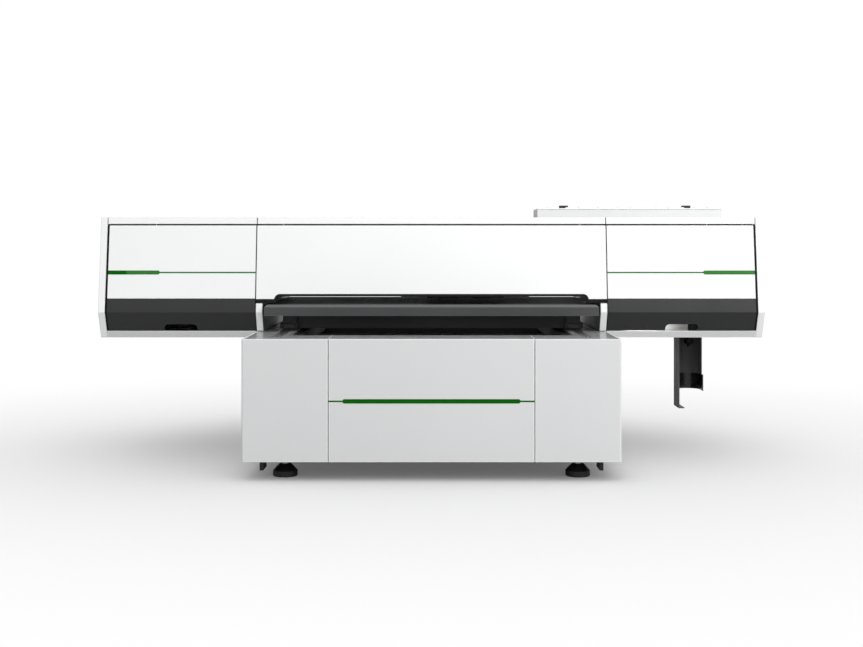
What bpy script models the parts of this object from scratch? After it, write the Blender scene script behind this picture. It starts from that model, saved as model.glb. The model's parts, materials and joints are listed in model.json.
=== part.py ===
"""Flatbed UV printer.

A low cabinet on four levelling feet carries a vacuum table that slides front to back. A fixed
gantry housing stands on the cabinet's two long edges and overhangs it as a closed pod at each side.
Inside the housing a print carriage crosses the table on a beam.

Metres, +Z up, +X to the machine's right as the operator sees it, +Y towards the back.
The origin is on the floor under the middle of the machine.
"""

import math

import bmesh
import bpy
from mathutils import Matrix, Vector

# Clearances and common sheet thicknesses
GAP = 0.0004
SHEET = 0.004
FOLD_INSET = SHEET * math.tan(math.radians(22.5))
RUNNING_CLEARANCE = 0.001

# Cabinet
BASE_HALF_WIDTH = 0.526
BASE_HALF_DEPTH = 0.667
BASE_BOTTOM = 0.052
BASE_TOP = 0.3926
FRONT_SEAM_X = 0.2857
SEAM_GAP = 0.002
CORNER_RADIUS = 0.006
CORNER_RETURN = 0.050
TOP_PLATE_THICKNESS = 0.006
TOP_PLATE_GAP = 0.0006
OPENING_HALF_WIDTH = 0.410
OPENING_HALF_DEPTH = 0.519
TUBE = 0.040
FRAME_INSET = 0.0055
FLOOR_SHEET = 0.003

# Feet and corner brackets
FOOT_X = 0.414
FOOT_Y = 0.580
FOOT_PAD_RADIUS = 0.035
FOOT_RIM_HEIGHT = 0.016
FOOT_CONE_TOP = 0.0345
FOOT_CONE_RADIUS = 0.0170
FOOT_STEM_RADIUS = 0.006
FOOT_NUT_RADIUS = 0.010
FOOT_NUT_HEIGHT = 0.008
BRACKET_OUTER_X = 0.480
BRACKET_THICKNESS = 0.0105
BRACKET_FLANGE = 0.030
BRACKET_FRONT_Y = -0.632
BRACKET_DEPTH = 0.070
BRACKET_BOTTOM = 0.023

# Table and its guides
TABLE_HALF_WIDTH = 0.500
TABLE_FRONT = -0.390
TABLE_REAR = 0.210
TABLE_BOTTOM = 0.441
TABLE_TOP = 0.4735
TABLE_CHAMFER = 0.007
RAIL_X = 0.441
RAIL_HALF_WIDTH = 0.012
RAIL_HALF_LENGTH = 0.600
BEARING_HALF_WIDTH = 0.0195
BEARING_HALF_LENGTH = 0.030
BEARING_TOP = 0.409
BEARING_Y = (-0.219, 0.090)
CROSSBEAM_HALF_DEPTH = 0.015
CROSSBEAM_BOTTOM = 0.394
ARM_TOP = 0.4325
POST_RADIUS = 0.006
SPINE_HALF_WIDTH = 0.045
NUT_HALF_SIZE = 0.030
SCREW_Z = 0.350
SCREW_RADIUS = 0.010
SCREW_HALF_LENGTH = 0.504
SCREW_JOURNAL_RADIUS = 0.007
NUT_Y = -0.060
MOTOR_HALF_SIZE = 0.030
BLOWER_AT = (0.330, 0.300)
BLOWER_RADIUS = 0.095
BLOWER_MOTOR_RADIUS = 0.070
TABLE_MOTOR_LENGTH = 0.055

# Gantry housing: its front is a shallow chevron with a nose line
HOUSING_HALF_WIDTH = 1.000
END_CAP_THICKNESS = 0.0205
END_CAP_JOINT = 0.0012
HOUSING_BOTTOM = 0.373
HOUSING_TOP = 0.736
HOUSING_REAR = 0.340
NOSE_Z = 0.4505
NOSE_Y = -0.376
FRONT_TOP_Y = -0.337
FRONT_BOTTOM_Y = -0.340
REAR_CHAMFER = 0.018
LEG_INNER_X = 0.506
LEG_OUTER_X = 0.527
LEG_TOP = 0.4775
TRAY_TOP = 0.3935
TOP_COVER_BOTTOM = 0.716
COVER_TOP = 0.7118
COVER_BOTTOM = 0.4893
COVER_THICKNESS = 0.012
CUT_OUT_HALF_WIDTH = 0.471
CUT_OUT_TOP = 0.505
CUT_OUT_RADIUS = 0.016
DOOR_INNER_X = 0.5295
DOOR_OUTER_X = 0.973
DOOR_SPLIT_Z = 0.4915
DOOR_BOTTOM = 0.3945
LOWER_PANEL_THICKNESS = 0.008
RECESS_X = 0.755
RECESS_HALF_WIDTH = 0.050
RECESS_HEIGHT = 0.0195
RECESS_RADIUS = 0.012
HINGE_Y = -0.3312
HINGE_Z = 0.7035
HINGE_RADIUS = 0.0045

# Beam, belt and print carriage
BEAM_FRONT = 0.100
BEAM_REAR = 0.240
BEAM_BOTTOM = 0.530
BEAM_TOP = 0.670
BEAM_HALF_LENGTH = 0.955
BEAM_WALL = 0.010
BEAM_RAIL_Z = 0.600
BEAM_RAIL_HALF_HEIGHT = 0.010
BEAM_RAIL_DEPTH = 0.015
PULLEY_X = 0.900
PULLEY_Y = 0.150
PULLEY_Z = 0.694
PULLEY_RADIUS = 0.018
PULLEY_HALF_WIDTH = 0.009
IDLER_PIN_RADIUS = 0.0042
BELT_THICKNESS = 0.002
BELT_HALF_WIDTH = 0.0075
CARRIAGE_X = 0.105
CARRIAGE_HALF_WIDTH = 0.120
CARRIAGE_FRONT = -0.270
CARRIAGE_REAR = 0.048
CARRIAGE_BOTTOM = 0.490
CARRIAGE_TOP = 0.620
HEAD_BOTTOM = 0.484
HEAD_HALF_WIDTH = 0.030
HEAD_OFFSET_X = 0.052
HEAD_FRONT = -0.200
HEAD_REAR = -0.060
LAMP_WIDTH = 0.080

# Capping station, ink box and waste bottle holder
CAPPING_X = (0.590, 0.792)
CAPPING_Y = (-0.262, -0.005)
CAP_PLATE_TOP = 0.470
INK_BOX_X = (0.329, 0.901)
INK_BOX_Y = (-0.234, -0.089)
INK_BOX_TOP = 0.767
INK_CAP_GROUPS = ((0.368, 1), (0.429, 2), (0.530, 1), (0.592, 8))
INK_CAP_PITCH = 0.0404
INK_CAP_RADIUS = 0.0055
INK_CAP_TOP = 0.772
INK_CAP_Y = -0.165
INK_HINGE_X = (0.4265, 0.8215)
INK_HINGE_HALF_WIDTH = 0.0145
INK_HINGE_Y = -0.083
INK_HINGE_Z = 0.7735
INK_HINGE_ROUND = 0.0065
HOLDER_X = (0.767, 0.843)
HOLDER_Y = (-0.244, -0.164)
HOLDER_SHEET = 0.0025
HOLDER_BOTTOM = 0.146
HOLDER_LIP = 0.018
HOLDER_BAND_Z = (0.200, 0.250)

FINISHES = {
    "white_paint": ((0.86, 0.87, 0.87), 0.35, 0.0),
    "cabinet_paint": ((0.66, 0.67, 0.68), 0.40, 0.0),
    "plate_gloss": ((0.30, 0.31, 0.32), 0.12, 0.3),
    "dark_paint": ((0.045, 0.046, 0.048), 0.38, 0.0),
    "table_paint": ((0.075, 0.077, 0.080), 0.40, 0.2),
    "black_plastic": ((0.012, 0.012, 0.013), 0.45, 0.0),
    "frame_steel": ((0.10, 0.10, 0.11), 0.50, 0.6),
    "bright_steel": ((0.60, 0.61, 0.62), 0.25, 1.0),
    "aluminium": ((0.70, 0.71, 0.72), 0.35, 1.0),
    "head_metal": ((0.32, 0.33, 0.35), 0.35, 0.8),
    "belt_rubber": ((0.02, 0.02, 0.02), 0.70, 0.0),
    "ink_plastic": ((0.80, 0.80, 0.78), 0.45, 0.0),
}


# ---------------------------------------------------------------- helpers


def clear_scene():
    for obj in list(bpy.data.objects):
        bpy.data.objects.remove(obj, do_unlink=True)


def finish(name):
    """The Principled material of that name, made on first use."""
    found = bpy.data.materials.get(name)
    if found:
        return found
    colour, roughness, metallic = FINISHES[name]
    material = bpy.data.materials.new(name)
    material.use_nodes = True
    shader = material.node_tree.nodes["Principled BSDF"]
    shader.inputs["Base Color"].default_value = (*colour, 1.0)
    shader.inputs["Roughness"].default_value = roughness
    shader.inputs["Metallic"].default_value = metallic
    return material


def add_object(name, bm, location, material):
    """Makes an object of the bmesh, whose points are relative to location."""
    bmesh.ops.recalc_face_normals(bm, faces=bm.faces)
    mesh = bpy.data.meshes.new(name)
    bm.to_mesh(mesh)
    bm.free()
    mesh.materials.append(finish(material))
    obj = bpy.data.objects.new(name, mesh)
    obj.location = location
    bpy.context.scene.collection.objects.link(obj)
    return obj


def block(name, x, y, z, material="frame_steel"):
    """A box between the two values of each of x, y and z."""
    low = Vector((min(x), min(y), min(z)))
    high = Vector((max(x), max(y), max(z)))
    bm = bmesh.new()
    bmesh.ops.create_cube(bm, size=1.0)
    bmesh.ops.scale(bm, vec=high - low, verts=bm.verts)
    return add_object(name, bm, (low + high) / 2, material)


def prism(name, outline, axis, span, material="frame_steel"):
    """Extrudes an outline along an axis. The outline's pairs are the other two axes in X, Y, Z order."""
    start, end = span
    place = {
        "X": lambda a, b: (start, a, b),
        "Y": lambda a, b: (a, start, b),
        "Z": lambda a, b: (a, b, start),
    }[axis]
    travel = {"X": (end - start, 0, 0), "Y": (0, end - start, 0), "Z": (0, 0, end - start)}[axis]
    bm = bmesh.new()
    face = bm.faces.new([bm.verts.new(place(a, b)) for a, b in outline])
    swept = bmesh.ops.extrude_face_region(bm, geom=[face], use_keep_orig=True)
    moved = [item for item in swept["geom"] if isinstance(item, bmesh.types.BMVert)]
    bmesh.ops.translate(bm, verts=moved, vec=travel)
    middle = sum((vert.co for vert in bm.verts), Vector()) / len(bm.verts)
    bmesh.ops.translate(bm, verts=bm.verts, vec=-middle)
    return add_object(name, bm, middle, material)


def turned(name, profile, centre, axis, material="frame_steel", segments=24):
    """Turns (radius, height) pairs about an axis through centre. Both ends of the profile are closed."""
    bm = bmesh.new()
    verts = [bm.verts.new((radius, 0, height)) for radius, height in profile]
    edges = [bm.edges.new(pair) for pair in zip(verts, verts[1:])]
    bmesh.ops.spin(
        bm, geom=verts + edges, cent=(0, 0, 0), axis=(0, 0, 1), angle=math.tau, steps=segments
    )
    bmesh.ops.remove_doubles(bm, verts=bm.verts, dist=1e-6)
    bmesh.ops.holes_fill(bm, edges=[edge for edge in bm.edges if edge.is_boundary])
    turn = {
        "X": Matrix.Rotation(math.pi / 2, 3, "Y"),
        "Y": Matrix.Rotation(-math.pi / 2, 3, "X"),
        "Z": Matrix.Identity(3),
    }[axis]
    bmesh.ops.rotate(bm, cent=(0, 0, 0), matrix=turn, verts=bm.verts)
    obj = add_object(name, bm, centre, material)
    obj.data.shade_smooth()
    obj.data.set_sharp_from_angle(angle=math.radians(35))
    return obj


def arc(centre, radius, start_deg, end_deg, steps=5):
    """Points along an arc, both ends included."""
    angles = [
        math.radians(start_deg + (end_deg - start_deg) * step / steps) for step in range(steps + 1)
    ]
    return [(centre[0] + radius * math.cos(a), centre[1] + radius * math.sin(a)) for a in angles]


def combine(obj, tool, operation, solver):
    """Keeps tool as a hidden helper of a Boolean on obj."""
    tool.hide_render = True
    tool.display_type = "WIRE"
    modifier = obj.modifiers.new(operation.lower() + "_" + tool.name, "BOOLEAN")
    modifier.operation = operation
    modifier.solver = solver
    modifier.object = tool
    return obj


def cut(obj, *tools, solver="EXACT"):
    for tool in tools:
        combine(obj, tool, "DIFFERENCE", solver)
    return obj


def fuse(obj, *tools, solver="EXACT"):
    """Joins the tools to obj. MANIFOLD suits the few solids whose pieces share whole faces."""
    for tool in tools:
        combine(obj, tool, "UNION", solver)
    return obj


def soften(obj, width, segments=1):
    """Rounds every sharp edge of a plain solid by width."""
    bevel = obj.modifiers.new("soft_edges", "BEVEL")
    bevel.width = width
    bevel.segments = segments
    bevel.limit_method = "ANGLE"
    bevel.angle_limit = math.radians(30)
    return obj


def pivot(name, location, *pieces):
    """An empty on a joint's axis, which carries the pieces that the joint moves."""
    empty = bpy.data.objects.new(name, None)
    empty.location = location
    empty.empty_display_size = 0.05
    bpy.context.scene.collection.objects.link(empty)
    for piece in pieces:
        piece.parent = empty
        piece.location = piece.location - Vector(location)
        carry_tools(piece, empty)
    return empty


def carry_tools(piece, empty):
    """Moves a piece's Boolean helpers under the same empty, so that they travel with it."""
    for modifier in piece.modifiers:
        if modifier.type == "BOOLEAN" and modifier.object.parent is None:
            modifier.object.parent = empty
            modifier.object.location = modifier.object.location - empty.location


def both_sides(x_pair):
    """The same span at the left and at the right of the machine, with a name for each."""
    low, high = x_pair
    return (("left", (-high, -low)), ("right", (low, high)))


def front_y(z):
    """The Y of the housing's front face at a height."""
    if z >= NOSE_Z:
        share = (z - NOSE_Z) / (HOUSING_TOP - NOSE_Z)
        return NOSE_Y + share * (FRONT_TOP_Y - NOSE_Y)
    share = (NOSE_Z - z) / (NOSE_Z - HOUSING_BOTTOM)
    return NOSE_Y + share * (FRONT_BOTTOM_Y - NOSE_Y)


def front_shell(heights, thickness):
    """A YZ outline that follows the housing's front through the given heights, upwards."""
    outer = [(front_y(z), z) for z in heights]
    inner = [(front_y(z) + thickness, z) for z in reversed(heights)]
    return outer + inner


# ---------------------------------------------------------------- cabinet


def base_frame():
    """Welded tubes round a floor sheet, with bearers under the rails and ties for the screw."""
    outer_x = BASE_HALF_WIDTH - FRAME_INSET
    outer_y = BASE_HALF_DEPTH - FRAME_INSET
    low = (BASE_BOTTOM + SHEET, BASE_BOTTOM + SHEET + TUBE)
    plate_under = BASE_TOP - TOP_PLATE_THICKNESS - GAP
    high = (plate_under - TUBE, plate_under)
    across = (-outer_x, outer_x)
    along = (-outer_y, outer_y)
    frame = block("base_frame", across, (-outer_y, TUBE - outer_y), high)
    tubes = [block("rear_top_tube", across, (outer_y - TUBE, outer_y), high)]
    for name, y in (("front", (-outer_y, TUBE - outer_y)), ("rear", (outer_y - TUBE, outer_y))):
        tubes.append(block(name + "_low_tube", across, y, low))
    for side, x in both_sides((outer_x - TUBE, outer_x)):
        tubes.append(block(side + "_top_tube", x, along, high))
        tubes.append(block(side + "_low_tube", x, along, low))
        for end, y in (("front", (-outer_y, TUBE - outer_y)), ("rear", (outer_y - TUBE, outer_y))):
            tubes.append(block(side + end + "_post", x, y, (low[0], high[1])))
    for side, x in both_sides((OPENING_HALF_WIDTH - 0.024, RAIL_X + RAIL_HALF_WIDTH + 0.006)):
        tubes.append(block(side + "_bearer", x, along, high))
    for side, x in both_sides((FOOT_X - TUBE / 2, FOOT_X + TUBE / 2)):
        tubes.append(block(side + "_foot_bearer", x, along, low))
    for end, sign in (("front", -1), ("rear", 1)):
        near = sign * (SCREW_HALF_LENGTH + 0.004)
        tie = block(end + "_tie", across, (near, near + sign * TUBE), (SCREW_Z - 0.025, high[1]))
        tubes.append(tie)
    floor_z = (low[0] + GAP, low[0] + GAP + FLOOR_SHEET)
    inside_x = (TUBE / 2 - outer_x, outer_x - TUBE / 2)
    inside_y = (TUBE / 2 - outer_y, outer_y - TUBE / 2)
    tubes.append(block("floor_sheet", inside_x, inside_y, floor_z))
    fuse(frame, *tubes, solver="MANIFOLD")
    hole_radius = SCREW_JOURNAL_RADIUS + RUNNING_CLEARANCE
    hole = turned(
        "screw_hole",
        [(hole_radius, -BASE_HALF_DEPTH), (hole_radius, BASE_HALF_DEPTH)],
        (0, 0, SCREW_Z),
        "Y",
    )
    return cut(frame, hole, solver="MANIFOLD")


def base_panels():
    """Front panels with rounded corner returns, side panels and the rear panel."""
    z = (BASE_BOTTOM, BASE_TOP)
    y_front = (-BASE_HALF_DEPTH, SHEET - BASE_HALF_DEPTH)
    half_seam = SEAM_GAP / 2
    centre = (-FRONT_SEAM_X + half_seam, FRONT_SEAM_X - half_seam)
    soften(block("front_centre_panel", centre, y_front, z, "cabinet_paint"), 0.0008)
    for side, sign in (("left", -1), ("right", 1)):
        outline = corner_panel_outline(sign)
        soften(prism("front_" + side + "_panel", outline, "Z", z, "cabinet_paint"), 0.0008)
        x = (sign * BASE_HALF_WIDTH, sign * (BASE_HALF_WIDTH - SHEET))
        y = (-BASE_HALF_DEPTH + CORNER_RETURN + SEAM_GAP, BASE_HALF_DEPTH - SHEET - GAP)
        soften(block("base_" + side + "_panel", x, y, z, "cabinet_paint"), 0.0008)
    across = (-BASE_HALF_WIDTH, BASE_HALF_WIDTH)
    y_rear = (BASE_HALF_DEPTH - SHEET, BASE_HALF_DEPTH)
    soften(block("base_rear_panel", across, y_rear, z, "cabinet_paint"), 0.0008)


def corner_panel_outline(sign):
    """XY outline of a front corner panel: flat front, rounded corner, short return along the side."""
    x_seam = FRONT_SEAM_X + SEAM_GAP / 2
    front = -BASE_HALF_DEPTH
    centre = (BASE_HALF_WIDTH - CORNER_RADIUS, front + CORNER_RADIUS)
    outer = [(x_seam, front)] + arc(centre, CORNER_RADIUS, -90, 0, 4)
    outer.append((BASE_HALF_WIDTH, front + CORNER_RETURN))
    inner = [(BASE_HALF_WIDTH - SHEET, front + CORNER_RETURN)]
    inner += arc(centre, CORNER_RADIUS - SHEET, 0, -90, 4)
    inner.append((x_seam, front + SHEET))
    return [(sign * x, y) for x, y in outer + inner]


def base_top_plate():
    """Glossy plate between the panels' edges, with the table's opening and the flush rails' grooves."""
    z = (BASE_TOP - TOP_PLATE_THICKNESS, BASE_TOP - GAP)
    half_width = BASE_HALF_WIDTH - SHEET - TOP_PLATE_GAP
    half_depth = BASE_HALF_DEPTH - SHEET - TOP_PLATE_GAP
    plate = block(
        "base_top_plate", (-half_width, half_width), (-half_depth, half_depth), z, "plate_gloss"
    )
    soften(plate, 0.0015)
    through = (z[0] - 0.01, z[1] + 0.01)
    opening_x = (-OPENING_HALF_WIDTH, OPENING_HALF_WIDTH)
    opening_y = (-OPENING_HALF_DEPTH, OPENING_HALF_DEPTH)
    cut(plate, block("plate_opening", opening_x, opening_y, through))
    groove = RAIL_HALF_WIDTH + 0.001
    length = RAIL_HALF_LENGTH + 0.001
    for side, x in both_sides((RAIL_X - groove, RAIL_X + groove)):
        cut(plate, block(side + "_groove", x, (-length, length), through))
    return plate


def table_rails():
    z = (BASE_TOP - TOP_PLATE_THICKNESS, BASE_TOP - GAP)
    for side, x in both_sides((RAIL_X - RAIL_HALF_WIDTH, RAIL_X + RAIL_HALF_WIDTH)):
        y = (-RAIL_HALF_LENGTH, RAIL_HALF_LENGTH)
        block(side + "_table_rail", x, y, z, "bright_steel")


def feet():
    """Levelling feet: a rubber-soled pad with a neck, a short stem and a lock nut, turned in one."""
    under_frame = BASE_BOTTOM + SHEET - GAP
    neck_top = FOOT_CONE_TOP + FOOT_NUT_HEIGHT
    lock_nut_bottom = under_frame - FOOT_NUT_HEIGHT
    profile = [
        (FOOT_PAD_RADIUS - 0.002, 0.0),
        (FOOT_PAD_RADIUS, 0.002),
        (FOOT_PAD_RADIUS, FOOT_RIM_HEIGHT),
        (FOOT_CONE_RADIUS, FOOT_CONE_TOP),
        (FOOT_NUT_RADIUS, FOOT_CONE_TOP),
        (FOOT_NUT_RADIUS, neck_top),
        (FOOT_STEM_RADIUS, neck_top),
        (FOOT_STEM_RADIUS, lock_nut_bottom),
        (FOOT_NUT_RADIUS, lock_nut_bottom),
        (FOOT_NUT_RADIUS, under_frame),
    ]
    for end, y in (("front", -FOOT_Y), ("rear", FOOT_Y)):
        for side, x in (("left", -FOOT_X), ("right", FOOT_X)):
            turned(end + "_" + side + "_foot", profile, (x, y, 0), "Z", "black_plastic", 32)


def corner_brackets():
    """Black angle plates under the cabinet's front corners."""
    top = BASE_BOTTOM + SHEET - GAP
    y = (BRACKET_FRONT_Y, BRACKET_FRONT_Y + BRACKET_DEPTH)
    for side, sign in (("left", -1), ("right", 1)):
        x = (sign * BRACKET_OUTER_X, sign * (BRACKET_OUTER_X - BRACKET_THICKNESS))
        plate = block("front_" + side + "_bracket", x, y, (BRACKET_BOTTOM, top), "black_plastic")
        flange_x = (sign * (BRACKET_OUTER_X - SHEET), sign * (BRACKET_OUTER_X + BRACKET_FLANGE))
        fuse(plate, block(side + "_bracket_flange", flange_x, y, (top - SHEET, top)))


# ---------------------------------------------------------------- table


def vacuum_table():
    """The bed: a plate with a chamfer round its top edge."""
    bm = bmesh.new()
    rings = (
        (0.0, TABLE_BOTTOM),
        (0.0, TABLE_TOP - TABLE_CHAMFER),
        (TABLE_CHAMFER, TABLE_TOP),
    )
    loops = []
    for inset, z in rings:
        x = TABLE_HALF_WIDTH - inset
        corners = (
            (-x, TABLE_FRONT + inset),
            (x, TABLE_FRONT + inset),
            (x, TABLE_REAR - inset),
            (-x, TABLE_REAR - inset),
        )
        loops.append([bm.verts.new((a, b, z)) for a, b in corners])
    bm.faces.new(loops[0])
    bm.faces.new(loops[-1])
    for lower, upper in zip(loops, loops[1:]):
        for i in range(len(lower)):
            j = (i + 1) % len(lower)
            bm.faces.new((lower[i], lower[j], upper[j], upper[i]))
    return add_object("vacuum_table", bm, (0, 0, 0), "table_paint")


def undercarriage():
    """Two crossbeams bolted under the bed, joined by side arms and a spine that holds the screw nut."""
    arm_inner = RAIL_X - BEARING_HALF_WIDTH
    beams = []
    for name, y in zip(("front", "rear"), BEARING_Y):
        depth = (y - CROSSBEAM_HALF_DEPTH, y + CROSSBEAM_HALF_DEPTH)
        z = (CROSSBEAM_BOTTOM, TABLE_BOTTOM - GAP)
        beams.append(block(name + "_crossbeam", (-arm_inner, arm_inner), depth, z))
    frame = beams[0]
    frame.name = "undercarriage"
    fuse(frame, beams[1])
    for side, x in both_sides((arm_inner - 0.004, RAIL_X + BEARING_HALF_WIDTH)):
        side_arm(frame, side, x)
    spine_x = (-SPINE_HALF_WIDTH, SPINE_HALF_WIDTH)
    fuse(frame, block("spine", spine_x, BEARING_Y, (CROSSBEAM_BOTTOM + 0.010, ARM_TOP - 0.004)))
    nut_x = (-NUT_HALF_SIZE, NUT_HALF_SIZE)
    nut_y = (NUT_Y - NUT_HALF_SIZE, NUT_Y + NUT_HALF_SIZE)
    fuse(frame, block("nut", nut_x, nut_y, (SCREW_Z - 0.025, ARM_TOP - 0.008)))
    bore_radius = SCREW_RADIUS + RUNNING_CLEARANCE
    bore = [(bore_radius, -0.05), (bore_radius, 0.05)]
    return cut(frame, turned("nut_bore", bore, (0, NUT_Y, SCREW_Z), "Y"))


def side_arm(frame, side, x):
    """An arm over one side's two bearings, with a post above each bearing."""
    y = (BEARING_Y[0] - BEARING_HALF_LENGTH, BEARING_Y[1] + BEARING_HALF_LENGTH)
    fuse(frame, block(side + "_arm", x, y, (BEARING_TOP + GAP, ARM_TOP)))
    post = [(POST_RADIUS, ARM_TOP - 0.004), (POST_RADIUS, TABLE_BOTTOM - GAP)]
    for end, post_y in zip(("front", "rear"), BEARING_Y):
        fuse(frame, turned(side + end + "_post", post, (sum(x) / 2, post_y, 0), "Z", segments=16))


def table_bearings():
    """Four linear bearing blocks on the rails, each a steel block between dark end seals."""
    bearings = []
    for end, y in zip(("front", "rear"), BEARING_Y):
        span = (RAIL_X - BEARING_HALF_WIDTH, RAIL_X + BEARING_HALF_WIDTH)
        for side, x in both_sides(span):
            length = (y - BEARING_HALF_LENGTH, y + BEARING_HALF_LENGTH)
            z = (BASE_TOP + GAP, BEARING_TOP)
            bearing = block(end + "_" + side + "_bearing", x, length, z, "bright_steel")
            bearings.append(soften(bearing, 0.0015))
    return bearings


def ball_screw():
    """Screw with thinner journals that turn in the two ties of the frame."""
    journal = SCREW_HALF_LENGTH + 0.020
    profile = [
        (SCREW_JOURNAL_RADIUS, -journal),
        (SCREW_JOURNAL_RADIUS, -SCREW_HALF_LENGTH),
        (SCREW_RADIUS, -SCREW_HALF_LENGTH),
        (SCREW_RADIUS, SCREW_HALF_LENGTH),
        (SCREW_JOURNAL_RADIUS, SCREW_HALF_LENGTH),
        (SCREW_JOURNAL_RADIUS, journal),
    ]
    return turned("ball_screw", profile, (0, 0, SCREW_Z), "Y", "bright_steel", 20)


def table_motor():
    """Square motor behind the rear tie, in line with the screw."""
    start = SCREW_HALF_LENGTH + 0.004 + TUBE + GAP
    x = (-MOTOR_HALF_SIZE, MOTOR_HALF_SIZE)
    y = (start, start + TABLE_MOTOR_LENGTH)
    z = (SCREW_Z - MOTOR_HALF_SIZE, SCREW_Z + MOTOR_HALF_SIZE)
    return soften(block("table_motor", x, y, z, "black_plastic"), 0.004)


def vacuum_blower():
    """Side-channel blower on the cabinet's foot bearer, with its outlet pointing up."""
    profile = [
        (BLOWER_RADIUS - 0.010, 0.0),
        (BLOWER_RADIUS, 0.010),
        (BLOWER_RADIUS, 0.090),
        (BLOWER_MOTOR_RADIUS, 0.110),
        (BLOWER_MOTOR_RADIUS, 0.150),
        (BLOWER_MOTOR_RADIUS - 0.010, 0.160),
    ]
    floor = BASE_BOTTOM + SHEET + TUBE + GAP
    x, y = BLOWER_AT
    body = turned("vacuum_blower", profile, (x, y, floor), "Z", "aluminium", 28)
    port_at = (x - BLOWER_RADIUS + 0.020, y, floor + 0.030)
    port = turned("blower_port", [(0.022, 0.0), (0.022, 0.190)], port_at, "Z")
    return fuse(body, port)


# ---------------------------------------------------------------- gantry housing


def end_caps():
    """Thick end plates that show the housing's chevron section."""
    rear = HOUSING_REAR
    outline = [
        (FRONT_BOTTOM_Y, HOUSING_BOTTOM),
        (NOSE_Y, NOSE_Z),
        (FRONT_TOP_Y, HOUSING_TOP),
        (rear - REAR_CHAMFER, HOUSING_TOP),
        (rear, HOUSING_TOP - REAR_CHAMFER),
        (rear, HOUSING_BOTTOM + REAR_CHAMFER),
        (rear - REAR_CHAMFER, HOUSING_BOTTOM),
    ]
    inner = HOUSING_HALF_WIDTH - END_CAP_THICKNESS
    for side, x in both_sides((inner, HOUSING_HALF_WIDTH)):
        soften(prism(side + "_end_cap", outline, "X", x, "white_paint"), 0.002, 2)


def gantry_legs():
    """Side plates on the cabinet's edges. The carriage crosses above their low front part."""
    foot = BASE_TOP + GAP
    seat = BEAM_BOTTOM - GAP
    rear = HOUSING_REAR - SHEET - 0.001
    outline = [
        (front_y(foot), foot),
        (NOSE_Y, NOSE_Z),
        (front_y(LEG_TOP), LEG_TOP),
        (BEAM_FRONT, LEG_TOP),
        (BEAM_FRONT, seat),
        (rear, seat),
        (rear, foot),
    ]
    for side, x in both_sides((LEG_INNER_X, LEG_OUTER_X)):
        soften(prism(side + "_gantry_leg", outline, "X", x, "white_paint"), 0.0015)


def pod_trays():
    """Folded trays that close the pods from below. The right one holds the drain nozzle."""
    rear = HOUSING_REAR
    outer = [
        (front_y(TRAY_TOP), TRAY_TOP),
        (FRONT_BOTTOM_Y, HOUSING_BOTTOM),
        (rear - REAR_CHAMFER, HOUSING_BOTTOM),
        (rear, HOUSING_BOTTOM + REAR_CHAMFER),
        (rear, TRAY_TOP),
    ]
    inner = [
        (rear - SHEET, TRAY_TOP),
        (rear - SHEET, HOUSING_BOTTOM + REAR_CHAMFER + FOLD_INSET),
        (rear - REAR_CHAMFER - FOLD_INSET, HOUSING_BOTTOM + SHEET),
        (FRONT_BOTTOM_Y + SHEET - 0.0015, HOUSING_BOTTOM + SHEET),
        (front_y(TRAY_TOP) + SHEET, TRAY_TOP),
    ]
    span = (DOOR_INNER_X, HOUSING_HALF_WIDTH - END_CAP_THICKNESS - GAP)
    trays = {}
    for side, x in both_sides(span):
        trays[side] = prism(side + "_pod_tray", outer + inner, "X", x, "cabinet_paint")
    nozzle_top = HOUSING_BOTTOM + SHEET / 2
    profile = [
        (0.004, nozzle_top - 0.040),
        (0.004, nozzle_top - 0.034),
        (0.0125, nozzle_top - 0.028),
        (0.0125, nozzle_top),
    ]
    centre = (sum(HOLDER_X) / 2, sum(HOLDER_Y) / 2, 0)
    fuse(trays["right"], turned("drain_nozzle", profile, centre, "Z", segments=16))


def top_covers():
    """Three folded covers, each with a front lip and a sloping rear edge, meeting at the door seams."""
    lip = (TOP_COVER_BOTTOM, HOUSING_TOP)
    edge = HOUSING_TOP - REAR_CHAMFER
    outline = [
        (front_y(lip[0]), lip[0]),
        (front_y(lip[1]), lip[1]),
        (HOUSING_REAR - REAR_CHAMFER, HOUSING_TOP),
        (HOUSING_REAR, edge),
        (HOUSING_REAR - SHEET * math.sqrt(2), edge),
        (HOUSING_REAR - REAR_CHAMFER - FOLD_INSET, HOUSING_TOP - SHEET),
        (front_y(lip[1]) + SHEET, HOUSING_TOP - SHEET),
        (front_y(lip[0]) + SHEET, lip[0]),
    ]
    seam = LEG_OUTER_X
    half = SEAM_GAP / 2
    outer = HOUSING_HALF_WIDTH - END_CAP_THICKNESS - END_CAP_JOINT
    spans = {
        "left_top_cover": (-outer, -seam - half),
        "centre_top_cover": (-seam + half, seam - half),
        "right_top_cover": (seam + half, outer),
    }
    for name, x in spans.items():
        prism(name, outline, "X", x, "white_paint")


def rear_cover():
    """One sheet behind the beam and both pods, open in the middle where the table passes."""
    outer = HOUSING_HALF_WIDTH - END_CAP_THICKNESS - GAP
    top = HOUSING_TOP - REAR_CHAMFER - GAP
    outline = [
        (-outer, TRAY_TOP + GAP),
        (-DOOR_INNER_X, TRAY_TOP + GAP),
        (-DOOR_INNER_X, COVER_BOTTOM),
        (DOOR_INNER_X, COVER_BOTTOM),
        (DOOR_INNER_X, TRAY_TOP + GAP),
        (outer, TRAY_TOP + GAP),
        (outer, top),
        (-outer, top),
    ]
    return prism("rear_cover", outline, "Y", (HOUSING_REAR - SHEET, HOUSING_REAR), "white_paint")


def hinge_barrel(name, x):
    """The rounded rear top edge of a cover, round its hinge line."""
    length = x[1] - x[0]
    profile = [(HINGE_RADIUS, 0.0), (HINGE_RADIUS, length)]
    return turned(name, profile, (x[0], HINGE_Y, HINGE_Z), "X", segments=16)


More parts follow.
